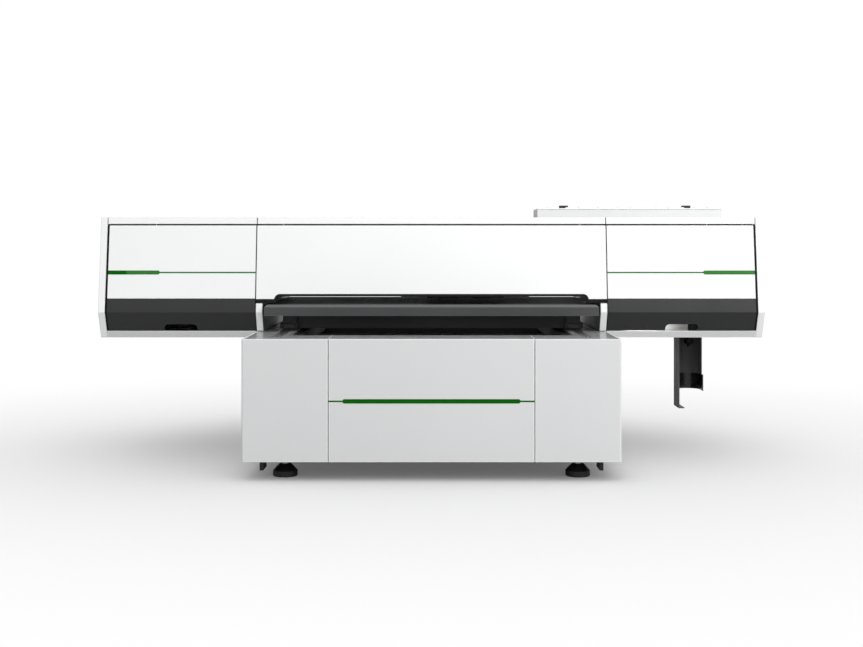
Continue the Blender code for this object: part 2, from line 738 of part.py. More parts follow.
def cover_panel(name, x, bottom):
    """A white panel in the housing's front, from bottom to the hinge line, and its hinge barrel."""
    crown = 0.004
    outline = [
        (front_y(bottom), bottom),
        (front_y(COVER_TOP - crown), COVER_TOP - crown),
        (front_y(COVER_TOP) + crown * 0.4, COVER_TOP - crown * 0.25),
        (front_y(COVER_TOP) + crown, COVER_TOP),
        (HINGE_Y, COVER_TOP - crown),
        (HINGE_Y, HINGE_Z - crown),
        (front_y(bottom) + COVER_THICKNESS, bottom),
    ]
    panel = prism(name, outline, "X", x, "white_paint")
    return fuse(panel, hinge_barrel(name + "_barrel", (x[0] + 0.01, x[1] - 0.01)))


def door(side, x):
    """A pod's door: white panel above, dark panel below with a hand recess in its lower edge."""
    panel = cover_panel(side + "_door", x, DOOR_SPLIT_Z + GAP)
    outline = front_shell((DOOR_BOTTOM, NOSE_Z, DOOR_SPLIT_Z - GAP), LOWER_PANEL_THICKNESS)
    lower = prism(side + "_door_lower_panel", outline, "X", x, "dark_paint")
    cut(lower, hand_recess(side, RECESS_X if side == "right" else -RECESS_X))
    return pivot(side + "_door_hinge", (0, HINGE_Y, HINGE_Z), panel, lower)


def hand_recess(side, centre_x):
    """XZ outline of a notch with rounded top corners, open downwards."""
    top = DOOR_BOTTOM + RECESS_HEIGHT
    left = centre_x - RECESS_HALF_WIDTH
    right = centre_x + RECESS_HALF_WIDTH
    outline = [(left, DOOR_BOTTOM - 0.02), (right, DOOR_BOTTOM - 0.02)]
    outline += arc((right - RECESS_RADIUS, top - RECESS_RADIUS), RECESS_RADIUS, 0, 90, 4)
    outline += arc((left + RECESS_RADIUS, top - RECESS_RADIUS), RECESS_RADIUS, 90, 180, 4)
    return prism(side + "_recess", outline, "Y", (NOSE_Y - 0.02, NOSE_Y + 0.06))


def centre_cover():
    """The cover over the table, with a long notch above the bed."""
    half = LEG_OUTER_X - 0.0005
    panel = cover_panel("centre_cover", (-half, half), COVER_BOTTOM)
    low = COVER_BOTTOM - 0.02
    outline = [(-CUT_OUT_HALF_WIDTH, low), (CUT_OUT_HALF_WIDTH, low)]
    corner_x = CUT_OUT_HALF_WIDTH - CUT_OUT_RADIUS
    corner_z = CUT_OUT_TOP - CUT_OUT_RADIUS
    outline += arc((corner_x, corner_z), CUT_OUT_RADIUS, 0, 90)
    outline += arc((-corner_x, corner_z), CUT_OUT_RADIUS, 90, 180)
    cut(panel, prism("cut_out", outline, "Y", (NOSE_Y - 0.02, NOSE_Y + 0.06)))
    return pivot("centre_cover_hinge", (0, HINGE_Y, HINGE_Z), panel)


# ---------------------------------------------------------------- beam and carriage


def gantry_beam():
    """Hollow beam on the legs, with a fork at its right end for the idler."""
    length = (-BEAM_HALF_LENGTH, BEAM_HALF_LENGTH)
    z = (BEAM_BOTTOM, BEAM_TOP)
    beam = block("gantry_beam", length, (BEAM_FRONT, BEAM_REAR), z, "aluminium")
    inside_y = (BEAM_FRONT + BEAM_WALL, BEAM_REAR - BEAM_WALL)
    inside_z = (BEAM_BOTTOM + BEAM_WALL, BEAM_TOP - BEAM_WALL)
    reach = BEAM_HALF_LENGTH + 0.01
    cut(beam, block("beam_hollow", (-reach, reach), inside_y, inside_z))
    ear_x = (PULLEY_X - 0.012, PULLEY_X + 0.012)
    ear_z = (BEAM_TOP - 0.005, PULLEY_Z + 0.014)
    for name, sign in (("front", -1), ("rear", 1)):
        near = PULLEY_Y + sign * (PULLEY_HALF_WIDTH + 0.0015)
        fuse(beam, block(name + "_fork_ear", ear_x, (near, near + sign * 0.005), ear_z))
    pin = [(IDLER_PIN_RADIUS, -0.012), (IDLER_PIN_RADIUS, 0.012)]
    fuse(beam, turned("idler_pin", pin, (PULLEY_X, PULLEY_Y, PULLEY_Z), "Y", segments=16))
    return beam


def beam_rail():
    half = BEAM_HALF_LENGTH - 0.02
    y = (BEAM_FRONT - GAP - BEAM_RAIL_DEPTH, BEAM_FRONT - GAP)
    z = (BEAM_RAIL_Z - BEAM_RAIL_HALF_HEIGHT, BEAM_RAIL_Z + BEAM_RAIL_HALF_HEIGHT)
    return block("beam_rail", (-half, half), y, z, "bright_steel")


def belt_outline(radius):
    right = arc((PULLEY_X, PULLEY_Z), radius, -90, 90, 10)
    left = arc((-PULLEY_X, PULLEY_Z), radius, 90, 270, 10)
    return right + left


def carriage_belt():
    """A closed belt round both pulleys."""
    inner = PULLEY_RADIUS + GAP
    y = (PULLEY_Y - BELT_HALF_WIDTH, PULLEY_Y + BELT_HALF_WIDTH)
    belt = prism("carriage_belt", belt_outline(inner + BELT_THICKNESS), "Y", y, "belt_rubber")
    hollow_y = (y[0] - 0.01, y[1] + 0.01)
    return cut(belt, prism("belt_hollow", belt_outline(inner), "Y", hollow_y))


def pulley_profile():
    flange = PULLEY_RADIUS - 0.0005
    return [(flange, -PULLEY_HALF_WIDTH), (flange, PULLEY_HALF_WIDTH)]


def pulleys():
    """The driven pulley at the left, on the motor's shaft, and the idler at the right, on a pin."""
    drive_at = (-PULLEY_X, PULLEY_Y, PULLEY_Z)
    idler_at = (PULLEY_X, PULLEY_Y, PULLEY_Z)
    drive = turned("drive_pulley", pulley_profile(), drive_at, "Y", "aluminium")
    shaft = [(0.005, 0.0), (0.005, PULLEY_HALF_WIDTH + 0.006)]
    fuse(drive, turned("drive_shaft", shaft, drive_at, "Y", segments=16))
    idler = turned("idler_pulley", pulley_profile(), idler_at, "Y", "aluminium")
    bore_radius = IDLER_PIN_RADIUS + RUNNING_CLEARANCE
    bore = [(bore_radius, -0.02), (bore_radius, 0.02)]
    cut(idler, turned("idler_bore", bore, idler_at, "Y", segments=16))


def carriage_motor():
    start = PULLEY_Y + PULLEY_HALF_WIDTH + 0.006 + GAP
    half = 0.0235
    body = block(
        "carriage_motor",
        (-PULLEY_X - half, -PULLEY_X + half),
        (start, start + 0.070),
        (BEAM_TOP + GAP, BEAM_TOP + GAP + 2 * half),
        "black_plastic",
    )
    return soften(body, 0.003)


def carriage_plate():
    """Plate behind the heads, with four bearing pads before the rail and an arm to the belt."""
    x = (CARRIAGE_X - 0.095, CARRIAGE_X + 0.095)
    y = (0.055, 0.067)
    plate = block("carriage_plate", x, y, (0.500, 0.704), "aluminium")
    pad_y = (y[0] + 0.004, BEAM_FRONT - BEAM_RAIL_DEPTH - 2 * GAP)
    for side, offset in (("left", -0.055), ("right", 0.055)):
        pad_x = (CARRIAGE_X + offset - 0.030, CARRIAGE_X + offset + 0.030)
        pad_z = (BEAM_RAIL_Z - 0.022, BEAM_RAIL_Z + 0.022)
        fuse(plate, block(side + "_pad", pad_x, pad_y, pad_z))
    lower_run = PULLEY_Z - PULLEY_RADIUS
    upper_run = PULLEY_Z + PULLEY_RADIUS
    arm_z = (lower_run + 0.008, upper_run - 0.002)
    arm_x = (CARRIAGE_X - 0.020, CARRIAGE_X + 0.020)
    arm_y = (y[0] + 0.004, PULLEY_Y + 0.005)
    return fuse(plate, block("belt_arm", arm_x, arm_y, arm_z))


def head_carriage():
    """Open-topped tray that holds the heads and rises on the carriage plate."""
    x = (CARRIAGE_X - CARRIAGE_HALF_WIDTH, CARRIAGE_X + CARRIAGE_HALF_WIDTH)
    tray = block(
        "head_carriage", x, (CARRIAGE_FRONT, CARRIAGE_REAR), (CARRIAGE_BOTTOM, CARRIAGE_TOP), "dark_paint"
    )
    soften(tray, 0.003)
    wall = 0.005
    hollow_x = (x[0] + wall, x[1] - wall)
    hollow_y = (CARRIAGE_FRONT + wall, CARRIAGE_REAR - wall)
    cut(tray, block("tray_hollow", hollow_x, hollow_y, (CARRIAGE_BOTTOM + wall, CARRIAGE_TOP + 0.02)))
    for side, offset in (("left", -HEAD_OFFSET_X), ("right", HEAD_OFFSET_X)):
        reach = HEAD_HALF_WIDTH + GAP
        slot_x = (CARRIAGE_X + offset - reach, CARRIAGE_X + offset + reach)
        slot_y = (HEAD_FRONT - GAP, HEAD_REAR + GAP)
        slot_z = (CARRIAGE_BOTTOM - 0.01, CARRIAGE_BOTTOM + 0.02)
        cut(tray, block(side + "_head_slot", slot_x, slot_y, slot_z))
    return tray


def print_heads():
    heads = []
    for side, offset in (("left", -HEAD_OFFSET_X), ("right", HEAD_OFFSET_X)):
        centre = CARRIAGE_X + offset
        x = (centre - HEAD_HALF_WIDTH, centre + HEAD_HALF_WIDTH)
        head = block(side + "_print_head", x, (HEAD_FRONT, HEAD_REAR), (HEAD_BOTTOM, 0.590), "head_metal")
        heads.append(soften(head, 0.0015))
    return heads


def uv_lamps():
    """A finned lamp housing at each side of the head tray."""
    lamps = []
    for side, sign in (("left", -1), ("right", 1)):
        near = CARRIAGE_X + sign * (CARRIAGE_HALF_WIDTH + GAP)
        x = (near, near + sign * LAMP_WIDTH)
        lamp = block(side + "_uv_lamp", x, (-0.210, -0.020), (CARRIAGE_BOTTOM, 0.600), "head_metal")
        for fin in range(4):
            y = -0.190 + 0.045 * fin
            slot_x = (min(x) + 0.010, max(x) - 0.010)
            slot = block(side + "_fin_slot_" + str(fin), slot_x, (y, y + 0.020), (0.570, 0.610))
            cut(lamp, slot)
        lamps.append(lamp)
    return lamps


# ---------------------------------------------------------------- capping station, ink, waste


def capping_station():
    """Fixed box in the right pod under the parked heads, open at the top for the cap plate."""
    z = (HOUSING_BOTTOM + SHEET + GAP, CAP_PLATE_TOP - 0.012)
    box = block("capping_station", CAPPING_X, CAPPING_Y, z, "ink_plastic")
    wall = 0.004
    hollow_x = (CAPPING_X[0] + wall, CAPPING_X[1] - wall)
    hollow_y = (CAPPING_Y[0] + wall, CAPPING_Y[1] - wall)
    return cut(box, block("station_hollow", hollow_x, hollow_y, (z[0] + wall, z[1] + 0.02)))


def cap_plate():
    """The lifting plate with two rubber-edged cups, one for each head."""
    inset = 0.006
    x = (CAPPING_X[0] + inset, CAPPING_X[1] - inset)
    y = (CAPPING_Y[0] + inset, CAPPING_Y[1] - inset)
    plate = block("cap_plate", x, y, (CAP_PLATE_TOP - 0.040, CAP_PLATE_TOP - 0.006), "black_plastic")
    middle = sum(CAPPING_X) / 2
    for side, offset in (("left", -HEAD_OFFSET_X), ("right", HEAD_OFFSET_X)):
        cup_x = (middle + offset - 0.034, middle + offset + 0.034)
        cup_y = (HEAD_FRONT - 0.004, HEAD_REAR + 0.004)
        fuse(plate, block(side + "_cup", cup_x, cup_y, (CAP_PLATE_TOP - 0.010, CAP_PLATE_TOP)))
    for side, offset in (("left", -HEAD_OFFSET_X), ("right", HEAD_OFFSET_X)):
        well_x = (middle + offset - 0.028, middle + offset + 0.028)
        well_y = (HEAD_FRONT + 0.002, HEAD_REAR - 0.002)
        cut(plate, block(side + "_well", well_x, well_y, (CAP_PLATE_TOP - 0.014, CAP_PLATE_TOP + 0.01)))
    return plate


def ink_cap_positions():
    return [start + INK_CAP_PITCH * i for start, count in INK_CAP_GROUPS for i in range(count)]


def ink_box():
    """Open-topped housing for the ink tank, on the top covers."""
    floor = HOUSING_TOP + GAP
    rim = INK_BOX_TOP - SHEET - GAP
    box = block("ink_box", INK_BOX_X, INK_BOX_Y, (floor, rim), "white_paint")
    hollow_x = (INK_BOX_X[0] + SHEET, INK_BOX_X[1] - SHEET)
    hollow_y = (INK_BOX_Y[0] + SHEET, INK_BOX_Y[1] - SHEET)
    return cut(box, block("ink_hollow", hollow_x, hollow_y, (floor + 0.003, rim + 0.02)))


def ink_tank():
    """The tank with its row of screw caps, which reach up through the lid."""
    margin = SHEET + 0.002
    x = (INK_BOX_X[0] + margin, INK_BOX_X[1] - margin)
    y = (INK_BOX_Y[0] + margin, INK_BOX_Y[1] - margin)
    floor = HOUSING_TOP + GAP + 0.003 + GAP
    top = INK_BOX_TOP - SHEET - 0.008
    tank = block("ink_tank", x, y, (floor, top), "ink_plastic")
    for index, cap_x in enumerate(ink_cap_positions()):
        profile = [
            (INK_CAP_RADIUS, top - 0.004),
            (INK_CAP_RADIUS, INK_CAP_TOP - 0.001),
            (INK_CAP_RADIUS - 0.001, INK_CAP_TOP),
        ]
        cap = turned("ink_cap_" + str(index), profile, (cap_x, INK_CAP_Y, 0), "Z", segments=12)
        fuse(tank, cap)
    return tank


def ink_box_lid():
    """Flat lid with a hole over each cap, and two knuckles that turn on the hinge pins."""
    z = (INK_BOX_TOP - SHEET, INK_BOX_TOP)
    lid = block("ink_box_lid", INK_BOX_X, INK_BOX_Y, z, "white_paint")
    soften(lid, 0.0012)
    for index, cap_x in enumerate(ink_cap_positions()):
        clear = INK_CAP_RADIUS + 0.0025
        profile = [(clear, INK_BOX_TOP - 0.02), (clear, INK_BOX_TOP + 0.01)]
        cut(lid, turned("lid_hole_" + str(index), profile, (cap_x, INK_CAP_Y, 0), "Z", segments=12))
    return pivot("ink_lid_pivot", (0, INK_HINGE_Y, INK_HINGE_Z), lid)


def ink_lid_hinges():
    """Black hinge blocks behind the ink box, standing a little above the lid."""
    for side, centre in zip(("left", "right"), INK_HINGE_X):
        x = (centre - INK_HINGE_HALF_WIDTH, centre + INK_HINGE_HALF_WIDTH)
        y = (INK_BOX_Y[1] + 0.002, INK_BOX_Y[1] + 0.012)
        z = (HOUSING_TOP + GAP, INK_HINGE_Z + INK_HINGE_ROUND)
        soften(block(side + "_ink_lid_hinge", x, y, z, "black_plastic"), 0.002, 2)


def holder_outline(tip):
    """XY outline of the holder's sheet: out of the flat side, round the back, and forward to tip."""
    left, right = HOLDER_X
    radius = (right - left) / 2
    inner_radius = radius - HOLDER_SHEET
    centre = (left + radius, HOLDER_Y[1] - radius)
    start = centre[1] - 0.010
    outer = [(left, start)] + arc(centre, radius, 180, 0, 12) + [(right, tip)]
    inner = [(right - HOLDER_SHEET, tip)] + arc(centre, inner_radius, 0, 180, 12)
    return outer + inner + [(left + HOLDER_SHEET, start)]


def waste_bottle_holder():
    """Sheet-metal holder under the right pod: flat side, curved back, hoop band and a foot lip."""
    left = HOLDER_X[0]
    front, rear = HOLDER_Y
    top = HOUSING_BOTTOM - GAP
    side_x = (left, left + HOLDER_SHEET)
    side = block("waste_bottle_holder", side_x, HOLDER_Y, (HOLDER_BOTTOM, top), "black_plastic")
    band_low, band_high = HOLDER_BAND_Z
    short_tip = (front + rear) / 2 - 0.020
    back = prism("holder_back", holder_outline(short_tip), "Z", (band_high - 0.002, top))
    band = prism("holder_band", holder_outline(front), "Z", (band_low, band_high))
    lip_z = (HOLDER_BOTTOM, HOLDER_BOTTOM + HOLDER_SHEET)
    lip = block("foot_lip", (left, left + HOLDER_LIP), HOLDER_Y, lip_z)
    return fuse(side, back, band, lip, solver="MANIFOLD")


# ---------------------------------------------------------------- assembly


def main():
    clear_scene()
    base_frame()
    base_panels()
    base_top_plate()
    table_rails()
    feet()
    corner_brackets()
    pivot("table_slide", (0, TABLE_FRONT, BASE_TOP), vacuum_table(), undercarriage(), *table_bearings())
    ball_screw()
    table_motor()
    vacuum_blower()
    end_caps()
    gantry_legs()
    pod_trays()
    top_covers()
    rear_cover()
    outer_span = (DOOR_INNER_X, DOOR_OUTER_X)
    for side, x in both_sides(outer_span):
        door(side, x)
    centre_cover()
    gantry_beam()
    beam_rail()
    carriage_belt()
    pulleys()
    carriage_motor()
    carriage_at = (CARRIAGE_X, BEAM_FRONT, BEAM_RAIL_Z)
    pivot("carriage_slide", carriage_at, carriage_plate())
    pivot("head_lift", carriage_at, head_carriage(), *print_heads(), *uv_lamps())
    capping_station()
    pivot("cap_lift", (sum(CAPPING_X) / 2, sum(CAPPING_Y) / 2, CAP_PLATE_TOP), cap_plate())
    ink_box()
    ink_tank()
    ink_box_lid()
    ink_lid_hinges()
    waste_bottle_holder()


main()
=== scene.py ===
"""Looks of the flatbed UV printer: finishes, small fittings, floor, light and camera.

Everything is in metres in the frame of the CAD model: +X to the operator's right, +Y to the back,
+Z up, with the origin on the floor. Places come from the CAD nodes' boxes.
"""

import json
import math

import bmesh
import bpy
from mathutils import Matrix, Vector

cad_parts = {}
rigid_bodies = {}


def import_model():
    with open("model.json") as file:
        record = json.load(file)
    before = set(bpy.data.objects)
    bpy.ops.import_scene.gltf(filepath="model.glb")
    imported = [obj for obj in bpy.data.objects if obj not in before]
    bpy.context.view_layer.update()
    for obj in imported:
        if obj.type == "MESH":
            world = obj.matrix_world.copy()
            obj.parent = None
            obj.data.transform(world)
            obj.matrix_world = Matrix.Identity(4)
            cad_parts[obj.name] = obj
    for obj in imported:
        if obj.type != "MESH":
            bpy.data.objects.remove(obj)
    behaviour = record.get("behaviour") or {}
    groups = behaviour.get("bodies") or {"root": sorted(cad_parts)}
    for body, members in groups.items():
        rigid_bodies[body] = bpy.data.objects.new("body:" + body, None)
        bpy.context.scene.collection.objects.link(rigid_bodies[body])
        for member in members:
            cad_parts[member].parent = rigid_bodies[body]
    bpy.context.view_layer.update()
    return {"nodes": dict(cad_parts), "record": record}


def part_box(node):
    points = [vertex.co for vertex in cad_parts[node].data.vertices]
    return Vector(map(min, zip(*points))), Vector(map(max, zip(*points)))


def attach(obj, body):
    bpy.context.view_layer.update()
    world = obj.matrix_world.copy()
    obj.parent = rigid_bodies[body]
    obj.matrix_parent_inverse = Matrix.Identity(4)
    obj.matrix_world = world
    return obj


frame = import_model()
nodes = frame["nodes"]

SIDES = (("left", -1), ("right", 1))
ENDS = ("front", "rear")

# Finish colours, linear
WHITE = (0.88, 0.885, 0.885)
# Painted shade: a darker white for the faces of the top covers, end caps and ink box lid that look up.
TOP_PAINTED_SHADE_WHITE = (0.62, 0.625, 0.625)
CABINET_GREY = (0.66, 0.665, 0.67)
PLATE_GREY = (0.27, 0.275, 0.28)
# Painted shade on the gantry legs' inner faces, which look towards the middle.
LEG_INNER_PAINTED_SHADE = (0.10, 0.10, 0.105)
# Painted shade: the ink box's front takes a darker white than the doors, and its left end a grey.
INK_BOX_SHADED_WHITE = (0.69, 0.695, 0.695)
INK_BOX_END_PAINTED_SHADE = (0.22, 0.22, 0.225)
BAND_GREY = (0.016, 0.0165, 0.017)
BED_GREY = (0.066, 0.067, 0.069)
# Painted light: the bed's chamfers and top take lighter greys than the front of its rim.
BED_CHAMFER_PAINTED_LIGHT = (0.105, 0.106, 0.108)
BED_TOP_PAINTED_LIGHT = (0.20, 0.202, 0.206)
BEARING_GREY = (0.085, 0.086, 0.088)
BLACK = (0.010, 0.010, 0.011)
# The frame's black; it is also the painted shade on the rear cover's faces that look into the housing.
FRAME_AND_SHADE_BLACK = (0.018, 0.018, 0.019)
STEEL = (0.56, 0.57, 0.58)
ALUMINIUM = (0.66, 0.67, 0.68)
HEAD_GREY = (0.10, 0.105, 0.115)
UNDERCARRIAGE_GREY = (0.062, 0.062, 0.063)
HOLDER_GREY = (0.075, 0.075, 0.076)
INK_WHITE = (0.80, 0.80, 0.78)
GREEN = (0.018, 0.165, 0.016)
DEEP_GREEN = (0.001, 0.105, 0.001)

# Vinyl film
FILM = 0.0003
THICK_STRIPE = 0.0120
THIN_STRIPE = 0.0042
DOOR_STRIPE_Z = 0.5698
DOOR_STRIPE_TIP_X = 0.8212
BASE_STRIPE_Z = 0.2205
BASE_STRIPE_HALF = 0.2425

# Fittings
SEAL_DEPTH = 0.011
SEAL_DROP = 0.0059
SEAL_LAP = 0.0012
SEAL_PROUD = 0.0004
SEAL_SKIRT = 0.0098
NOTCH_RADIUS = 0.016
GASKET_SINK = 0.0012
SEAL_SINK = 0.0004
BED_HOLE_PITCH = 0.025
BED_HOLE_RADIUS = 0.0016
BED_HOLE_MARGIN = 0.045

FOOT_CONE_TOP = 0.0345
HOOP_LOW = 0.2005
HOOP_HIGH = 0.2495
HOOP_SHEET = 0.0025

# Floor and light
FLOOR_HALF = 60.0
FLOOR_BOUNCE = 0.55
FLOOR_GLOW = 0.10
FADE_START = 0.95
FADE_END = 2.3
SKY_LEVEL = 0.80
SKY_SLOPE = (0.20, 0.10, 0.30)
KEY_AT = (2.8, -2.6, 2.4)
KEY_POWER = 70.0
FILL_AT = (0.6, -4.6, 3.4)
FILL_POWER = 50.0
POD_GLOW = 0.11
BED_GLOW = 0.05
BED_GLOW_Y = -0.26


# ---------------------------------------------------------------- node helpers


class Recipe:
    """A material under construction: a Principled shader and short ways to add nodes to it."""

    def __init__(self, name, roughness, metallic=0.0):
        self.material = bpy.data.materials.new(name)
        self.material.use_nodes = True
        self.tree = self.material.node_tree
        self.shader = self.tree.nodes["Principled BSDF"]
        self.shader.inputs["Roughness"].default_value = roughness
        self.shader.inputs["Metallic"].default_value = metallic
        self.place = self.add("ShaderNodeTexCoord").outputs["Object"]

    def add(self, kind, inputs=None, **settings):
        made = self.tree.nodes.new(kind)
        for key, value in settings.items():
            setattr(made, key, value)
        for key, value in (inputs or {}).items():
            self.feed(made.inputs[key], value)
        return made

    def feed(self, socket, value):
        if isinstance(value, bpy.types.NodeSocket):
            self.tree.links.new(value, socket)
        else:
            socket.default_value = value

    def noise(self, scale, stretch=(1, 1, 1), detail=3.0, roughness=0.5):
        mapping = self.add("ShaderNodeMapping", {"Vector": self.place, "Scale": stretch})
        inputs = {
            "Vector": mapping.outputs["Vector"],
            "Scale": scale,
            "Detail": detail,
            "Roughness": roughness,
        }
        return self.add("ShaderNodeTexNoise", inputs).outputs["Fac"]

    def remap(self, value, start, end, low, high):
        inputs = {"Value": value, "From Min": start, "From Max": end, "To Min": low, "To Max": high}
        return self.add("ShaderNodeMapRange", inputs).outputs["Result"]

    def maths(self, operation, first, second=0.0):
        return self.add("ShaderNodeMath", {0: first, 1: second}, operation=operation).outputs[0]

    def mix(self, share, first, second):
        """Colour between first and second."""
        made = self.add("ShaderNodeMix", data_type="RGBA")
        self.feed(made.inputs["Factor"], share)
        self.feed(made.inputs[6], rgba(first))
        self.feed(made.inputs[7], rgba(second))
        return made.outputs[2]

    def edges(self, radius, start=0.01, end=0.18):
        """1 on the object's edges within about that radius, 0 on flat faces."""
        rounded = self.add("ShaderNodeBevel", {"Radius": radius}, samples=4).outputs["Normal"]
        flat = self.add("ShaderNodeNewGeometry").outputs["Normal"]
        facing = self.add("ShaderNodeVectorMath", {0: rounded, 1: flat}, operation="DOT_PRODUCT")
        return self.remap(self.maths("SUBTRACT", 1.0, facing.outputs["Value"]), start, end, 0.0, 1.0)

    def bump(self, *layers):
        """Layers of (height, strength, distance), stacked into the shader's normal."""
        normal = None
        for height, strength, distance in layers:
            inputs = {"Height": height, "Strength": strength, "Distance": distance}
            if normal is not None:
                inputs["Normal"] = normal
            normal = self.add("ShaderNodeBump", inputs).outputs["Normal"]
        self.feed(self.shader.inputs["Normal"], normal)

    def colour(self, value):
        self.feed(self.shader.inputs["Base Color"], value)

    def roughness(self, value):
        self.feed(self.shader.inputs["Roughness"], value)


def rgba(value):
    return value if isinstance(value, bpy.types.NodeSocket) else (*value, 1.0)


def scaled(colour, share):
    return tuple(channel * share for channel in colour)


# ---------------------------------------------------------------- finishes


def powder_coat(name, colour, roughness, peel=0.25, edge_tone=None, edge_radius=0.003, mottle=0.03):
    """Baked paint: faint mottling, orange peel, uneven gloss from handling, and an edge tone in patches: painted
    shade on the white finishes' edges, a painted highlight on the cabinet's, lighter edges on the dark finishes.
    """
    recipe = Recipe(name, roughness)
    cloud = recipe.noise(2.2, detail=4.0)
    toned = recipe.mix(recipe.remap(cloud, 0.3, 0.7, 0, 1), scaled(colour, 1 - mottle), colour)
    if edge_tone is not None:
        # patches of the edge tone, which is painted shade or a painted highlight on the pale finishes
        edge_patches = recipe.remap(recipe.noise(45.0, detail=4.0), 0.30, 0.62, 0.55, 1.0)
        toned = recipe.mix(recipe.maths("MULTIPLY", recipe.edges(edge_radius), edge_patches), toned, edge_tone)
    recipe.colour(toned)
    smudges = recipe.noise(9.0, detail=5.0, roughness=0.6)
    recipe.roughness(recipe.remap(smudges, 0.3, 0.75, roughness - 0.05, roughness + 0.09))
    grain = recipe.noise(1400.0, detail=1.0)
    peel_height = recipe.noise(420.0, detail=2.0)
    recipe.bump((peel_height, peel, 0.00025), (grain, peel * 0.5, 0.0001))
    return recipe.material


def gloss_plate(name, colour):
    """Glossy painted plate with fine wipe marks."""
    recipe = Recipe(name, 0.16, 0.0)
    wipes = recipe.noise(60.0, stretch=(0.12, 1.0, 1.0), detail=5.0, roughness=0.65)
    haze = recipe.noise(5.0, detail=4.0)
    recipe.colour(recipe.mix(recipe.remap(haze, 0.3, 0.7, 0, 1), scaled(colour, 0.9), scaled(colour, 1.08)))
    recipe.roughness(recipe.remap(wipes, 0.3, 0.72, 0.20, 0.36))
    recipe.bump((recipe.noise(300.0, detail=2.0), 0.10, 0.0002))
    recipe.feed(recipe.shader.inputs["Coat Weight"], 0.25)
    recipe.feed(recipe.shader.inputs["Coat Roughness"], 0.12)
    return recipe.material


def anodised(name, colour, roughness, lay=(1.0, 1.0, 1.0), edge_tone=None):
    """Anodised aluminium: fine matt grain, faint tool lines along one axis, lighter edges."""
    recipe = Recipe(name, roughness, 0.35)
    cloud = recipe.remap(recipe.noise(3.5, detail=4.0), 0.3, 0.7, 0, 1)
    toned = recipe.mix(cloud, scaled(colour, 0.88), scaled(colour, 1.10))
    if edge_tone is not None:
        nicks = recipe.remap(recipe.noise(70.0, detail=4.0), 0.35, 0.60, 0.35, 1.0)
        toned = recipe.mix(recipe.maths("MULTIPLY", recipe.edges(0.0015), nicks), toned, edge_tone)
    recipe.colour(toned)
    lines = recipe.noise(220.0, stretch=lay, detail=3.0)
    recipe.roughness(recipe.remap(lines, 0.3, 0.7, roughness - 0.06, roughness + 0.08))
    recipe.bump((lines, 0.12, 0.0001), (recipe.noise(2200.0, detail=1.0), 0.10, 0.00006))
    return recipe.material


def brushed_metal(name, colour, roughness, lay):
    """Bare metal with grinding lines; lay squeezes the noise along the grinding direction."""
    recipe = Recipe(name, roughness, 1.0)
    lines = recipe.noise(900.0, stretch=lay, detail=3.0, roughness=0.6)
    tone = recipe.remap(lines, 0.3, 0.7, 0, 1)
    stains = recipe.remap(recipe.noise(14.0, detail=5.0), 0.45, 0.75, 0.0, 0.35)
    ground = recipe.mix(tone, scaled(colour, 0.82), scaled(colour, 1.08))
    recipe.colour(recipe.mix(stains, ground, scaled(colour, 0.62)))
    recipe.roughness(recipe.remap(lines, 0.3, 0.7, roughness - 0.08, roughness + 0.12))
    recipe.bump((lines, 0.18, 0.00008))
    return recipe.material


def moulded_plastic(name, colour, roughness, texture=0.35):
    """Injection-moulded plastic with a spark-eroded texture and rubbed edges."""
    recipe = Recipe(name, roughness)
    cloud = recipe.remap(recipe.noise(18.0, detail=3.0), 0.3, 0.7, 0, 1)
    toned = recipe.mix(cloud, scaled(colour, 0.85), scaled(colour, 1.15))
    rubbed = tuple(min(1.0, channel * 2.2 + 0.01) for channel in colour)
    recipe.colour(recipe.mix(recipe.maths("MULTIPLY", recipe.edges(0.0012), 0.5), toned, rubbed))
    recipe.roughness(recipe.remap(recipe.noise(30.0, detail=4.0), 0.3, 0.7, roughness - 0.07, roughness + 0.08))
    recipe.bump((recipe.noise(1600.0, detail=2.0), texture, 0.00012))
    return recipe.material


def rubber(name, colour):
    """Extruded rubber: matt, with fine lines and a dusty bloom."""
    recipe = Recipe(name, 0.62)
    recipe.feed(recipe.shader.inputs["Specular IOR Level"], 0.2)
    bloom = recipe.remap(recipe.noise(25.0, detail=5.0), 0.45, 0.8, 0.0, 0.5)
    recipe.colour(recipe.mix(bloom, colour, scaled(colour, 2.6)))
    recipe.roughness(recipe.remap(recipe.noise(60.0), 0.3, 0.7, 0.52, 0.74))
    recipe.bump((recipe.noise(1100.0, detail=2.0), 0.3, 0.0001))
    return recipe.material


def toothed_belt(name):
    """Timing belt: rubber with cross ribs every 5 mm."""
    recipe = Recipe(name, 0.65)
    along = recipe.add("ShaderNodeSeparateXYZ", {"Vector": recipe.place}).outputs["X"]
    teeth = recipe.maths("SINE", recipe.maths("MULTIPLY", along, math.tau / 0.005))
    recipe.colour(recipe.mix(recipe.remap(teeth, -1, 1, 0, 1), BLACK, scaled(BLACK, 2.2)))
    recipe.roughness(recipe.remap(recipe.noise(60.0), 0.3, 0.7, 0.55, 0.75))
    recipe.bump((teeth, 0.6, 0.0005))
    return recipe.material


def vinyl_film(name, colour, deep, shine=0.35):
    """Green film: a slightly darker tone in patches, small gloss changes."""
    recipe = Recipe(name, 0.30)
    cloud = recipe.remap(recipe.noise(6.0, detail=3.0), 0.3, 0.7, 0.0, 0.25)
    toned = recipe.mix(cloud, colour, deep)
    recipe.colour(toned)
    recipe.feed(recipe.shader.inputs["Specular IOR Level"], shine)
    recipe.roughness(recipe.remap(recipe.noise(35.0, detail=3.0), 0.3, 0.7, 0.24, 0.38))
    recipe.bump((recipe.noise(500.0, detail=2.0), 0.08, 0.0001))
    return recipe.material


